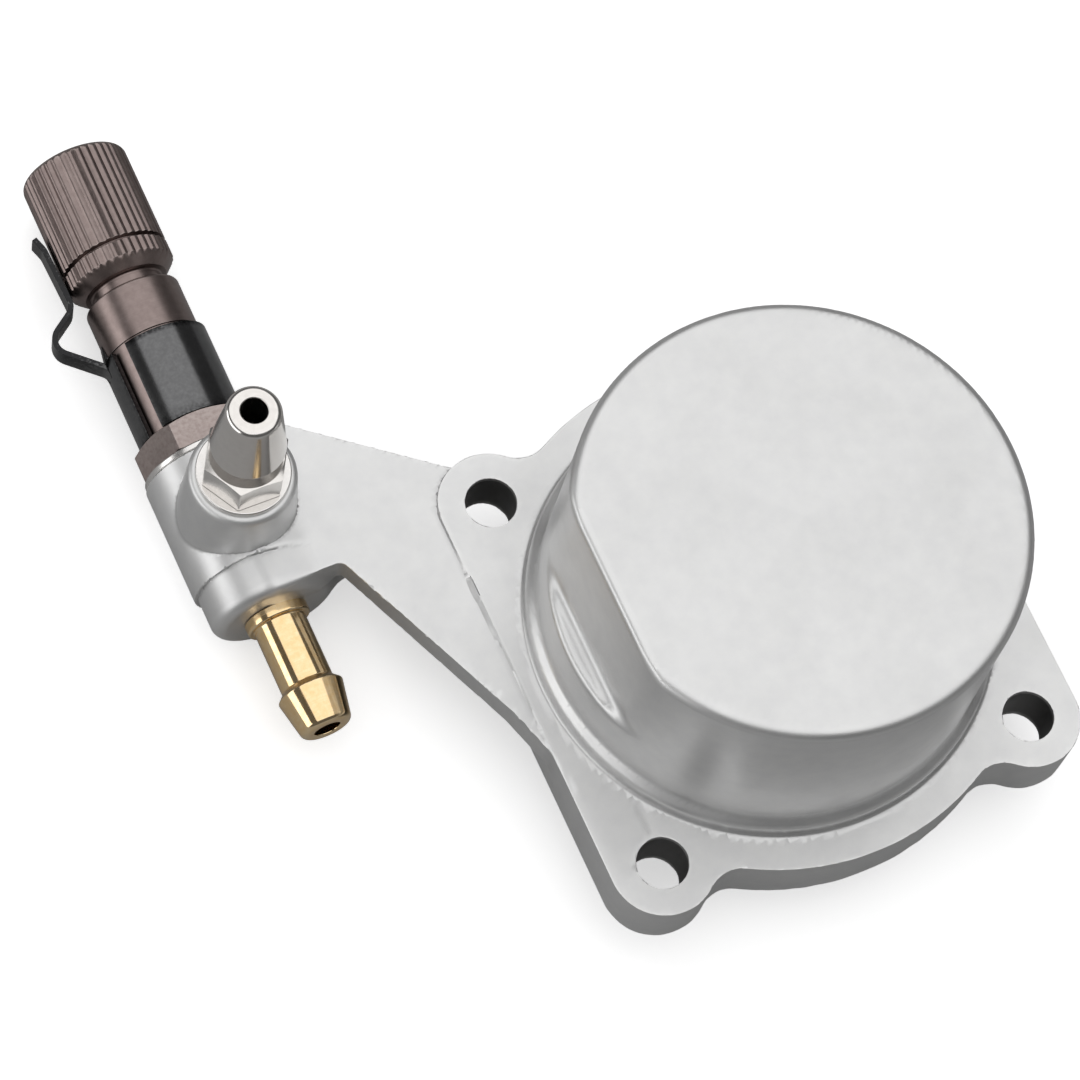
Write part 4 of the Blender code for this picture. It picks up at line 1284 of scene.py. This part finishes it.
    def arm(self, x: np.ndarray, y: np.ndarray, z: np.ndarray) -> np.ndarray:
        """Measure the arm's plate and the wedge under it.

        Args:
            x: Places across, in millimetres.
            y: Places along the needle.
            z: Heights above the seat face.

        Returns:
            The signed distances, negative inside.
        """
        fade = np.clip((y - self.fade_start) / self.fade_length, self.fade_least, 1.0)
        levels = np.maximum(z + self.arm_drop * fade, -z - self.arm_floor)
        outline = rounded_path(self.ARM_CORNERS, True)[0]
        plate = cut_round(polygon_distance(x, y, outline), levels, self.crisp)
        side = polygon_distance(x, z, np.array(self.WEDGE_CORNERS))
        start, end = self.WEDGE_SPAN
        wedge = cut_round(side, np.maximum(start - y, y - end), self.crisp)
        return np.minimum(plate, wedge)

    def boss(self, x: np.ndarray, y: np.ndarray, z: np.ndarray) -> np.ndarray:
        """Measure the needle boss with its stepped end.

        Args:
            x: Places across, in millimetres.
            y: Places along the needle.
            z: Heights above the seat face.

        Returns:
            The signed distances, negative inside.
        """
        rim = np.hypot(x - PLACES.needle_x, z - PLACES.needle_z)
        ends = np.maximum(y - PLACES.boss_top, self.boss_step - y)
        body = cut_round(rim - self.boss_radius, ends, self.crisp)
        end = cut_round(rim - self.boss_end_radius, PLACES.boss_end - y, self.boss_end_round)
        return np.minimum(body, np.maximum(end, y - self.boss_step - self.boss_overlap))

    def pad(self, x: np.ndarray, y: np.ndarray, z: np.ndarray) -> np.ndarray:
        """Measure the tapered inlet pad.

        Args:
            x: Places across, in millimetres.
            y: Places along the needle.
            z: Heights above the seat face.

        Returns:
            The signed distances, negative inside.
        """
        rim = np.hypot(x - PLACES.needle_x, y - PLACES.inlet_y)
        foot = PLACES.needle_z + self.arm_drop
        slope = (self.pad_top_radius - self.pad_base_radius) / (PLACES.pad_top - foot)
        side = rim - self.pad_base_radius - slope * (z - foot)
        return np.maximum(cut_round(side, z - PLACES.pad_top, self.pad_edge), foot - z)

    def hollow(self, x: np.ndarray, y: np.ndarray, z: np.ndarray) -> np.ndarray:
        """Measure the hollow behind the plug, which follows the side flat.

        Args:
            x: Places across, in millimetres.
            y: Places along the needle.
            z: Heights above the seat face.

        Returns:
            The signed distances, negative inside.
        """
        foot = -self.flange_thickness - self.end_wall
        slope = (self.hollow_deep_radius - self.hollow_mouth_radius) / (self.hollow_floor - foot)
        side = np.hypot(x, y) - self.hollow_mouth_radius - slope * (z - foot)
        space = cut_round(side, z - self.hollow_floor, self.hollow_round)
        wall = self.plug_top_radius - self.hollow_mouth_radius + self.flat_wall_extra
        keep = join_round(-x - self.flat_distance + wall, z - self.ledge_height + wall,
                          self.hollow_step_round)
        return cut_round(space, keep, self.hollow_edge)

    def bores(self, x: np.ndarray, y: np.ndarray, z: np.ndarray) -> np.ndarray:
        """Measure the fuel passages.

        Args:
            x: Places across, in millimetres.
            y: Places along the needle.
            z: Heights above the seat face.

        Returns:
            The signed distances, negative inside.
        """
        gap, seat = PLACES.bore_gap, PLACES.seat_gap
        needle = np.hypot(x - PLACES.needle_x, z - PLACES.needle_z)
        inlet = np.hypot(x - PLACES.needle_x, y - PLACES.inlet_y)
        holder = np.maximum(needle - self.holder_bore - gap, PLACES.spigot_foot - seat - y)
        ends = np.maximum(PLACES.outlet_seat - y, y - PLACES.boss_top)
        chamber = np.maximum(needle - self.chamber_radius, ends)
        outlet = np.maximum(needle - self.outlet_bore - gap, y - PLACES.outlet_seat - seat)
        thread = np.maximum(inlet - self.inlet_bore - gap, PLACES.inlet_foot - seat - z)
        ends = np.maximum(PLACES.needle_z + self.passage_rise - z, z - PLACES.pad_top)
        passage = np.maximum(inlet - self.passage_radius, ends)
        return np.minimum.reduce([holder, chamber, outlet, thread, passage])

    def distance(self, x: np.ndarray, y: np.ndarray, z: np.ndarray) -> np.ndarray:
        """Measure the whole casting.

        Args:
            x: Places across, in millimetres.
            y: Places along the needle.
            z: Heights above the seat face.

        Returns:
            The signed distances, negative inside.
        """
        base = join_round(self.flange(x, y, z), self.plug(x, y, z), self.base_fillet)
        valve = join_round(self.arm(x, y, z), self.boss(x, y, z), self.boss_fillet)
        valve = join_round(valve, self.pad(x, y, z), self.crisp)
        body = join_round(base, valve, self.seam_fillet)
        body = cut_round(body, -self.hollow(x, y, z), self.crisp)
        body = cut_round(body, -self.holes(x, y), self.crisp)
        return cut_round(body, -self.bores(x, y, z), self.crisp)

    def holes(self, x: np.ndarray, y: np.ndarray) -> np.ndarray:
        """Return the distance to the four screw holes."""
        half = 0.5 * self.hole_pitch
        return np.hypot(np.abs(x) - half, np.abs(y) - half) - self.hole_radius

    def mask_hole_shade(self, mesh: bpy.types.Mesh) -> None:
        """Store where the surface is the wall of a drilled screw hole, where the cast finish paints
        shade.

        Args:
            mesh: The casting's mesh, in metres.
        """
        places = np.empty(3 * len(mesh.vertices))
        mesh.vertices.foreach_get("co", places)
        x, y, z = places.reshape(-1, 3).T / MM
        half = 0.5 * self.flange_thickness
        level = half - np.abs(z + PLACES.plug_height + half)
        wall = self.mask_core - np.abs(self.holes(x, y)) / self.mask_reach
        inside = np.clip((level - self.mask_inset) / self.mask_fade, 0.0, 1.0)
        # Painted shade: the cast finish darkens these hole walls.
        set_mask(mesh, "drilled", np.clip(wall, 0.0, 1.0) * inside)

    def build(self) -> None:
        """Build the casting and dress it."""
        skin = SkinMaker(self.distance, self.SKIN_LOW, self.SKIN_HIGH, self.grid_step,
                         self.FINE_ZONES, self.fine_step)
        mesh = skin.mesh("rear_cover_casting", PLACES.plug_height)
        self.mask_hole_shade(mesh)
        add_piece("rear_cover_casting", mesh, CAST_ALUMINIUM, Body.COVER, "rear_cover")


@dataclass
class NeedleHolder:
    """Holder screwed into the boss, with the ring under its hexagon and the ratchet spring."""

    flats: float = 7.0
    spigot_radius: float = 2.5
    lead: float = 0.2
    tube_radius: float = 3.1
    seat_radius: float = 3.0
    seat_height: float = 6.35
    tube_height: float = 9.85
    bore_radius: float = 2.45
    bore_floor: float = 0.6
    thread_bore: float = 1.6
    seam_low: float = 1.0
    seam_high: float = 0.9
    washer_radius: float = 4.1
    washer_thickness: float = 0.45
    spring_thickness: float = 0.35
    band_low: float = 0.05
    band_high: float = 6.1
    notch_height: float = 5.7
    gap_angle: float = math.radians(220.0)
    gap_width: float = 1.2
    leaf_width: float = 1.4
    notch_ratio: float = 1.2
    band_step: float = math.radians(5.0)
    band_rows: int = 8
    sag_rows: int = 8
    leaf_root: float = 4.5
    leaf_root_round: float = 0.8
    leaf_step: float = math.radians(9.0)
    leaf_start: float = 0.02
    edge_soft: float = 0.07
    edge_angle: float = math.radians(50.0)
    leaf_shade_rise: float = 0.5
    leaf_bends: tuple[Corner, ...] = (
        (6.35, 8.45, 1.1), (3.78, 10.35, 1.0), (3.95, 14.7, 1.2), (4.25, 15.6, 0.0))

    def build(self) -> None:
        """Build the three pieces."""
        self.build_holder()
        self.washer().build(Axis.NEEDLE)
        self.build_spring()

    def build_holder(self) -> None:
        """Turn the holder with its hexagon and tube."""
        top, seat = PLACES.hex_top, PLACES.holder_seat
        tube_top, floor = top + self.tube_height, top + self.bore_floor
        lathe = Lathe("needle_holder_body", flats=self.flats)
        lathe.add([
            (self.thread_bore, top - self.seam_low, 0.0),
            (self.thread_bore, PLACES.spigot_foot, 0.1),
            (self.spigot_radius, PLACES.spigot_foot, 0.3), (self.spigot_radius, seat, 0.0),
            (self.spigot_radius + self.lead, seat, 0.0)])
        lathe.add_hexagon(seat, top)
        lathe.add([
            (self.seat_radius + self.lead, top, 0.0), (self.seat_radius, top, 0.1),
            (self.seat_radius, top + self.seat_height, 0.04),
            (self.tube_radius, top + self.seat_height, 0.05), (self.tube_radius, tube_top, 0.25),
            (self.bore_radius, tube_top, 0.2), (self.bore_radius, floor, 0.1),
            (self.thread_bore, floor, 0.1), (self.thread_bore, top - self.seam_high, 0.0)],
            strip=(0.0, 1.0))
        mesh = lathe.mesh(Axis.NEEDLE.matrix(), closed=True)
        add_piece("needle_holder_body", mesh, GUNMETAL, Body.COVER, "needle_holder")

    def washer(self) -> Washer:
        """Size the bright ring between the hexagon and the boss.

        Returns:
            The ring.
        """
        return Washer("holder_ring", "holder_washer", self.spigot_radius + PLACES.bore_gap,
                      self.washer_radius, PLACES.boss_top + PLACES.seat_gap,
                      self.washer_thickness, 0.08, 0.15)

    def leaf_path(self, radius: float) -> list[np.ndarray]:
        """Lay out the leaf's middle line above the band.

        Args:
            radius: Middle radius of the band.

        Returns:
            Points as (distance out, height).
        """
        corners = [(radius, self.leaf_root, 0.0),
                   (radius, self.notch_height, self.leaf_root_round), *self.leaf_bends]
        return [point for point in rounded_path(corners, False, self.leaf_step)[0]
                if point[1] > self.notch_height + self.leaf_start
                or point[0] > radius + self.leaf_start]

    def spring_sheet(self) -> tuple[list[Corner], list[list[int]]]:
        """Lay out the middle of the spring's sheet, before it gets its thickness.

        Returns:
            Places in lathe millimetres and the vertex numbers of the faces.
        """
        radius = self.seat_radius + PLACES.bore_gap + 0.5 * self.spring_thickness
        half_leaf = math.asin(0.5 * self.leaf_width / radius)
        half_notch = 0.5 * self.notch_ratio * self.leaf_width / radius
        half_gap = 0.5 * self.gap_width / radius
        start, end = self.gap_angle + half_gap - 2.0 * math.pi, self.gap_angle - half_gap
        sides = (-half_notch, -half_leaf, half_leaf, half_notch)
        stops = [start, *(math.pi + side for side in sides), end]
        angles: list[float] = []
        for low, high in zip(stops, stops[1:]):
            count = max(1, round((high - low) / self.band_step))
            angles += [low + (high - low) * index / count for index in range(count)]
        angles.append(end)
        rise = self.notch_height - self.band_low
        heights = [self.band_low + rise * row / self.band_rows for row in range(self.band_rows + 1)]
        path = self.leaf_path(radius)
        columns: list[list[Corner]] = []
        for angle in angles:
            across, aside = radius * math.cos(angle), radius * math.sin(angle)
            column = [(across, aside, PLACES.hex_top + height) for height in heights]
            offset = abs(angle - math.pi)
            if offset > half_notch - ANGLE_SLACK:
                column.append((across, aside, PLACES.hex_top + self.band_high))
            elif offset < half_leaf + ANGLE_SLACK:
                sag = radius - radius * math.cos(offset)
                for row, (out, height) in enumerate(path):
                    flat = sag * max(0.0, 1.0 - row / self.sag_rows)
                    column.append((flat - out, aside, PLACES.hex_top + height))
            columns.append(column)
        faces, first = [], 0
        for left, right in zip(columns, columns[1:]):
            after = first + len(left)
            for row in range(min(len(left), len(right)) - 1):
                faces.append([first + row, after + row, after + row + 1, first + row + 1])
            first = after
        return [place for column in columns for place in column], faces

    def build_spring(self) -> None:
        """Give the spring's sheet its thickness and softened edges."""
        places, faces = self.spring_sheet()
        sheet = raw_mesh("ratchet_spring_clip", np.array(places), faces)
        item = link_object("ratchet_spring_clip", sheet)
        wall = item.modifiers.new("thickness", "SOLIDIFY")
        wall.thickness, wall.offset, wall.use_even_offset = self.spring_thickness, 0.0, True
        soften = item.modifiers.new("edges", "BEVEL")
        soften.width, soften.segments, soften.limit_method = self.edge_soft, 2, "ANGLE"
        soften.angle_limit = self.edge_angle
        even = item.modifiers.new("normals", "WEIGHTED_NORMAL")
        even.keep_sharp = True
        mesh = settle(item)
        mask_edges(mesh)
        self.paint_leaf_shade(mesh)
        mesh.transform(Axis.NEEDLE.matrix())
        add_piece("ratchet_spring_clip", mesh, BLACK_SPRING, Body.COVER, "ratchet_spring")

    def paint_leaf_shade(self, mesh: bpy.types.Mesh) -> None:
        """Paint shade on the leaf above the band, using the spring's near-black edge colour.

        Args:
            mesh: The spring's mesh, in lathe millimetres.
        """
        places, mask = np.empty(3 * len(mesh.vertices)), np.empty(len(mesh.vertices))
        mesh.vertices.foreach_get("co", places)
        edge = mesh.attributes["edge"].data
        edge.foreach_get("value", mask)
        rise = (places[2::3] - PLACES.hex_top - self.notch_height) / self.leaf_shade_rise
        edge.foreach_set("value", np.maximum(mask, np.clip(rise, 0.0, 1.0)).astype(np.float32))


@dataclass
class Needle:
    """Knurled knob with its needle, seal ring and grub screw."""

    cutter: RidgeCutter
    knob_radius: float = 3.5
    knob_low: float = 10.7
    knob_top: float = 19.6
    low_chamfer: float = 0.75
    top_round: float = 0.5
    groove_height: float = 12.6
    groove_size: float = 0.3
    groove_depth: float = 0.5
    teeth: int = 40
    tooth_depth: float = 0.11
    tooth_crest: float = 0.25
    tooth_samples: int = 8
    chamfer_rows: int = 5
    wall_rows: int = 6
    hub_radius: float = 2.3
    hub_low: float = 3.0
    ring_height: float = 5.4
    ring_groove_radius: float = 1.75
    ring_groove_width: float = 0.9
    ring_section: float = 0.31
    ring_samples: int = 20
    wire_radius: float = 0.85
    wire_floor: float = 13.6
    grub_height: float = 16.2
    grub_angle: float = math.radians(45.0)
    grub_radius: float = 0.7
    grub_length: float = 1.9
    grub_sink: float = 0.4
    grub_ridges_per_mm: float = 2.8
    grub_thread_depth: float = 0.14
    grub_rows: int = 24
    grub_lead: float = 0.2
    grub_face_radius: float = 0.5
    drill_clear: float = 1.0
    socket_flats: float = 0.7
    socket_depth: float = 0.8
    socket_point: float = 0.9
    shank_radius: float = 1.1
    shank_top: float = 9.0
    tip_place: float = 12.8
    tip_radius: float = 0.25
    taper_top: float = 17.5
    taper_radius: float = 1.0
    thread_radius: float = 1.5
    thread_pitch: float = 0.5
    thread_depth: float = 0.24
    thread_crest: float = 0.15
    thread_end: float = 20.8
    thread_samples: int = 8
    thread_lead: float = 0.3

    def build(self) -> None:
        """Build the four pieces."""
        self.build_knob()
        self.build_stem()
        self.build_seal()
        self.build_grub_screw()

    @staticmethod
    def fit(name: str, mesh: bpy.types.Mesh, place: Matrix, finish: Finish, node: str) -> None:
        """Move a turned mesh into place, shade it and add it to the needle.

        Args:
            name: Piece name.
            mesh: Mesh in lathe millimetres.
            place: Move to the part's frame.
            finish: Finish that it gets.
            node: Node that it stands for.
        """
        mesh.transform(place)
        shade(mesh)
        add_piece(name, mesh, finish, Body.NEEDLE, node)

    def knob_corners(self) -> list[Corner]:
        """Lay out the knob's profile.

        Returns:
            Corners from its inner end round the outside to the wire hole.
        """
        base = PLACES.hex_top
        low, high = base + self.knob_low, base + self.knob_top
        groove, half = base + self.groove_height, 0.5 * self.groove_size
        ring, width = base + self.ring_height, 0.5 * self.ring_groove_width
        shank = self.shank_radius + PLACES.seat_gap
        shank_top = base + self.shank_top + PLACES.seat_gap
        rim, root = self.knob_radius, self.knob_radius - self.groove_depth
        hub, hub_low, groove_radius = self.hub_radius, base + self.hub_low, self.ring_groove_radius
        corners: list[Corner] = [
            (0.0, shank_top, 0.0), (shank, shank_top, 0.0), (shank, hub_low, 0.1),
            (hub, hub_low, 0.15), (hub, ring - width, 0.06), (groove_radius, ring - width, 0.06),
            (groove_radius, ring + width, 0.06), (hub, ring + width, 0.06), (hub, low, 0.15),
            (rim - self.low_chamfer, low, 0.1)]
        for row in range(1, self.chamfer_rows):
            rise = self.low_chamfer * row / self.chamfer_rows
            corners.append((rim - self.low_chamfer + rise, low + rise, 0.0))
        corners += [
            (rim, low + self.low_chamfer, 0.05), (rim, groove - half, 0.05),
            (root, groove - half, 0.05), (root, groove + half, 0.05), (rim, groove + half, 0.05)]
        corners += straight_run(rim, groove + half, high - self.top_round, self.wall_rows)
        wire, floor = self.wire_radius, base + self.wire_floor
        corners += [(rim, high, self.top_round), (wire, high, 0.12), (wire, floor, 0.05),
                    (0.0, floor, 0.0)]
        return corners

    def build_knob(self) -> None:
        """Turn the knob, cut its teeth and drill the grub screw's hole."""
        lathe = Lathe("needle_knob_turned", steps=self.teeth * self.tooth_samples)
        mesh = lathe.add(self.knob_corners()).mesh(Matrix.Identity(4), exact=False)
        mesh = self.cutter.cut(
            mesh, GUNMETAL.material(), Ridges=self.teeth, Ridges_per_Length=0.0,
            Crest_Radius=self.knob_radius, Depth=self.tooth_depth, Crest_Width=self.tooth_crest)
        mesh = self.drill(mesh)
        self.fit("needle_knob_turned", mesh, Axis.NEEDLE.matrix(), GUNMETAL, "needle_knob")

    def grub_place(self) -> Matrix:
        """Find the place of the grub screw.

        Returns:
            The move from the screw's own axis to lathe millimetres.
        """
        lift = Matrix.Translation((0.0, 0.0, PLACES.hex_top + self.grub_height))
        aside = Matrix.Rotation(0.5 * math.pi, 4, "Y")
        return lift @ Matrix.Rotation(self.grub_angle, 4, "Z") @ aside

    def drill(self, mesh: bpy.types.Mesh) -> bpy.types.Mesh:
        """Cut the grub screw's hole through the side of the knob.

        Args:
            mesh: The knob's mesh, in lathe millimetres.

        Returns:
            The drilled mesh.
        """
        bore = self.grub_radius + PLACES.seat_gap
        end = self.knob_radius + self.drill_clear
        lathe = Lathe("grub_drill", steps=40)
        lathe.add([(0.0, 0.0, 0.0), (bore, 0.0, 0.0), (bore, end, 0.0), (0.0, end, 0.0)])
        tool = link_object("grub_drill", lathe.mesh(self.grub_place(), exact=False))
        item = link_object("needle_knob_turned", mesh)
        step = item.modifiers.new("drill", "BOOLEAN")
        step.operation, step.solver, step.object = "DIFFERENCE", "EXACT", tool
        drilled = settle(item)
        bpy.data.objects.remove(tool, do_unlink=True)
        return drilled

    def build_stem(self) -> None:
        """Turn the needle and cut its thread."""
        shoulder = PLACES.hex_top + self.hub_low - PLACES.seat_gap
        top, end = PLACES.hex_top + self.shank_top, self.thread_end
        count = round((shoulder - end) / self.thread_pitch * self.thread_samples)
        corners: list[Corner] = [
            (0.0, self.tip_place, 0.0), (self.tip_radius, self.tip_place, 0.08),
            (self.taper_radius, self.taper_top, 0.3), (self.taper_radius, end, 0.1),
            (self.thread_radius, end, 0.25)]
        corners += straight_run(
            self.thread_radius, end + self.thread_lead, shoulder - self.thread_lead, count)
        corners += [
            (self.thread_radius, shoulder, 0.1), (self.shank_radius, shoulder, 0.1),
            (self.shank_radius, top, 0.2), (0.0, top, 0.0)]
        lathe = Lathe("needle_stem_threaded", steps=64).add(corners)
        mesh = self.cutter.cut(
            lathe.mesh(Matrix.Identity(4), exact=False), NEEDLE_STEEL.material(), Ridges=-1.0,
            Ridges_per_Length=1.0 / self.thread_pitch, Crest_Radius=self.thread_radius,
            Depth=self.thread_depth, Crest_Width=self.thread_crest)
        self.fit("needle_stem_threaded", mesh, Axis.NEEDLE.matrix(), NEEDLE_STEEL, "needle_stem")

    def build_seal(self) -> None:
        """Turn the seal ring in the hub's groove."""
        middle = 0.5 * (self.ring_groove_radius + NeedleHolder.bore_radius)
        centre = PLACES.hex_top + self.ring_height
        corners = []
        for index in range(self.ring_samples):
            turn = index * 2.0 * math.pi / self.ring_samples
            corners.append((middle + self.ring_section * math.cos(turn),
                            centre + self.ring_section * math.sin(turn), 0.06))
        lathe = Lathe("needle_seal_ring", steps=96).add(corners, closed=True)
        mesh = lathe.mesh(Axis.NEEDLE.matrix(), closed=True)
        add_piece("needle_seal_ring", mesh, SEAL_RUBBER, Body.SEAL, "needle_o_ring")

    def build_grub_screw(self) -> None:
        """Turn the grub screw and press its hexagon socket."""
        outer = self.knob_radius - self.grub_sink
        inner = outer - self.grub_length
        lathe = Lathe("grub_screw_turned", steps=36)
        corners = [(0.0, inner, 0.0), (self.grub_radius, inner, 0.15)]
        corners += straight_run(
            self.grub_radius, inner + self.grub_lead, outer - self.grub_lead, self.grub_rows)
        corners += [(self.grub_radius, outer, 0.12), (self.grub_face_radius, outer, 0.0)]
        lathe.add(corners)
        ones = np.ones(len(lathe.angles))
        hexagon = 0.5 * self.socket_flats / np.cos(from_flat(lathe.angles))
        for radius, depth in ((hexagon, 0.0), (hexagon, self.socket_depth),
                              (0.0 * ones, self.socket_point)):
            lathe.rings.append(Ring(radius, ones * (outer - depth), (0.0, 1.0)))
        mesh = self.cutter.cut(
            lathe.mesh(Matrix.Identity(4), exact=False), NEEDLE_STEEL.material(), Ridges=-1.0,
            Ridges_per_Length=self.grub_ridges_per_mm, Crest_Radius=self.grub_radius,
            Depth=self.grub_thread_depth, Crest_Width=self.thread_crest)
        place = Axis.NEEDLE.matrix() @ self.grub_place()
        self.fit("grub_screw_turned", mesh, place, NEEDLE_STEEL, "extension_grub_screw")


@dataclass
class InletNipple:
    """Bright inlet nipple with its hexagon and cone barb, and the thin washer under it."""

    flats: float = 4.7
    hex_height: float = 2.5
    neck_radius: float = 1.3
    neck_height: float = 3.1
    barb_radius: float = 2.3
    barb_height: float = 3.9
    tip_radius: float = 1.65
    tip_height: float = 8.75
    tip_round: float = 0.55
    bore_radius: float = 0.8
    spigot_radius: float = 1.5
    spigot_lead: float = 0.2
    neck_lead: float = 0.3
    seam: float = 0.2
    washer_radius: float = 2.9
    washer_thickness: float = 0.4

    def build(self) -> None:
        """Build the nipple and its washer."""
        seat = PLACES.inlet_seat
        top, tip = seat + self.hex_height, seat + self.tip_height
        lathe = Lathe("inlet_nipple_turned", flats=self.flats)
        lathe.add([
            (self.bore_radius, seat, 0.0), (self.bore_radius, PLACES.inlet_foot, 0.1),
            (self.spigot_radius, PLACES.inlet_foot, 0.2), (self.spigot_radius, seat, 0.0),
            (self.spigot_radius + self.spigot_lead, seat, 0.0)])
        lathe.add_hexagon(seat, top)
        lathe.add([
            (self.neck_radius + self.neck_lead, top, 0.0), (self.neck_radius, top, 0.1),
            (self.neck_radius, seat + self.neck_height, 0.15),
            (self.barb_radius, seat + self.barb_height, 0.12),
            (self.tip_radius, tip, self.tip_round), (self.bore_radius, tip, 0.12),
            (self.bore_radius, seat + self.seam, 0.0)], strip=(0.0, 1.0))
        mesh = lathe.mesh(Axis.INLET.matrix(), closed=True)
        add_piece("inlet_nipple_turned", mesh, NICKEL, Body.COVER, "inlet_nipple")
        washer = Washer("inlet_ring", "inlet_washer", self.spigot_radius + PLACES.bore_gap,
                        self.washer_radius, PLACES.pad_top + PLACES.seat_gap,
                        self.washer_thickness, 0.06, 0.1)
        washer.build(Axis.INLET)


@dataclass
class OutletNipple:
    """Polished outlet nipple with collar, neck and barb."""

    seat_bore: float = 0.85
    spigot_radius: float = 1.75
    collar_radius: float = 2.05
    collar_length: float = 0.7
    neck_radius: float = 1.68
    barb_place: float = 6.5
    barb_radius: float = 2.12
    barb_back: float = 0.45
    tip_radius: float = 1.62
    tip_place: float = 3.9
    tip_round: float = 0.5

    def build(self) -> None:
        """Turn the nipple."""
        collar_top = PLACES.boss_end - PLACES.seat_gap
        collar_end = collar_top - self.collar_length
        barb_back = self.barb_place + self.barb_back
        seat = PLACES.outlet_seat
        lathe = Lathe("outlet_nipple_turned").add([
            (self.seat_bore, self.tip_place, 0.1),
            (self.tip_radius, self.tip_place, self.tip_round),
            (self.barb_radius, self.barb_place, 0.12), (self.neck_radius, barb_back, 0.1),
            (self.neck_radius, collar_end, 0.12), (self.collar_radius, collar_end, 0.15),
            (self.collar_radius, collar_top, 0.08), (self.spigot_radius, collar_top, 0.05),
            (self.spigot_radius, seat, 0.15), (self.seat_bore, seat, 0.2)], closed=True)
        mesh = lathe.mesh(Axis.NEEDLE.matrix(), closed=True)
        add_piece("outlet_nipple_turned", mesh, BRASS, Body.COVER, "outlet_nipple")


@dataclass
class Studio:
    """Pale floor, soft overhead light and the camera."""

    lens: float = 146.9
    sensor: float = 36.0
    clip: tuple[float, float] = (0.01, 20.0)
    right: Corner = (0.9014, -0.4125, 0.1317)
    up: Corner = (0.3387, 0.8611, 0.3794)
    back: Corner = (-0.2699, -0.2974, 0.9158)
    eye: Corner = (-83.46, -71.02, 231.94)
    floor_size: float = 4.0
    floor_colour: Colour = (0.95, 0.95, 0.95)
    floor_bounce: Colour = (0.38, 0.38, 0.38)
    floor_roughness: float = 0.9
    floor_specular: float = 0.1
    floor_glow: float = 0.5
    sky: float = 0.11
    box_size: tuple[float, float] = (1.2, 1.6)
    box_place: Corner = (0.05, 0.2, 0.62)
    box_power: float = 6.3
    panel_size: tuple[float, float] = (0.42, 1.4)
    panel_place: Corner = (-0.9, 0.25, 0.19)
    panel_power: float = 3.2

    def build(self) -> None:
        """Set the camera, the floor and the light."""
        self.build_camera()
        self.build_floor()
        self.build_light()
        bpy.context.scene.view_settings.view_transform = "Standard"

    def build_camera(self) -> None:
        """Place the camera at the photograph's viewing angle."""
        data = bpy.data.cameras.new("camera")
        data.lens, data.sensor_width, data.sensor_fit = self.lens, self.sensor, "HORIZONTAL"
        data.clip_start, data.clip_end = self.clip
        camera = bpy.data.objects.new("camera", data)
        columns = [Vector(self.right), Vector(self.up), Vector(self.back)]
        turn = Matrix(columns).transposed().to_quaternion().to_matrix().to_4x4()
        camera.matrix_world = Matrix.Translation(Vector(self.eye) * MM) @ turn
        bpy.context.scene.collection.objects.link(camera)
        bpy.context.scene.camera = camera

    def build_floor(self) -> None:
        """Lay the floor under the lowest point of the part."""
        half = 0.5 * self.floor_size
        corners = ((-half, -half), (half, -half), (half, half), (-half, half))
        places = np.array([(*corner, CAD_BOX[0].z) for corner in corners])
        floor = link_object("floor", raw_mesh("floor", places, [[0, 1, 2, 3]]))
        paper = bpy.data.materials.new("pale_floor")
        paper.use_nodes = True
        shader = paper.node_tree.nodes["Principled BSDF"]
        bench = NodeBench(paper.node_tree)
        seen = bench.node("ShaderNodeLightPath").outputs["Is Camera Ray"]
        colour = bench.blend(seen, self.floor_bounce, self.floor_colour)
        bench.join(colour, shader.inputs["Base Color"])
        shader.inputs["Roughness"].default_value = self.floor_roughness
        shader.inputs["Specular IOR Level"].default_value = self.floor_specular
        glow = bench.math("MULTIPLY", seen, self.floor_glow)
        shader.inputs["Emission Color"].default_value = (1.0, 1.0, 1.0, 1.0)
        bench.join(glow, shader.inputs["Emission Strength"])
        floor.data.materials.append(paper)

    def build_light(self) -> None:
        """Hang the overhead softbox and the low side panel, and set the grey surround."""
        world = bpy.data.worlds.new("surround")
        world.use_nodes = True
        backdrop = world.node_tree.nodes["Background"]
        backdrop.inputs["Color"].default_value = (self.sky, self.sky, self.sky, 1.0)
        bpy.context.scene.world = world
        self.hang("softbox", self.box_size, self.box_place, self.box_power)
        sideways = (0.0, -0.5 * math.pi, 0.0)
        self.hang("side_panel", self.panel_size, self.panel_place, self.panel_power, sideways)

    @staticmethod
    def hang(
        name: str, size: tuple[float, float], place: Corner, power: float,
        turn: Corner = (0.0, 0.0, 0.0),
    ) -> None:
        """Hang one flat light.

        Args:
            name: Light name.
            size: Width and height in metres.
            place: Middle of the light in metres.
            power: Power in watts.
            turn: Turn about X, Y and Z from facing down.
        """
        data = bpy.data.lights.new(name, "AREA")
        data.shape, data.energy = "RECTANGLE", power
        data.size, data.size_y = size
        light = bpy.data.objects.new(name, data)
        light.location, light.rotation_euler = place, turn
        light.visible_camera = False
        bpy.context.scene.collection.objects.link(light)


def main() -> None:
    """Build every piece of the part, then the studio round it."""
    logging.basicConfig(level=logging.INFO, format="%(name)s: %(message)s")
    Effects.build()
    assemblies = (
        RearCover(), NeedleHolder(), Needle(RidgeCutter()), InletNipple(), OutletNipple(), Studio())
    for assembly in assemblies:
        LOG.info("building %s", type(assembly).__name__)
        assembly.build()


if __name__ == "__main__":
    main()
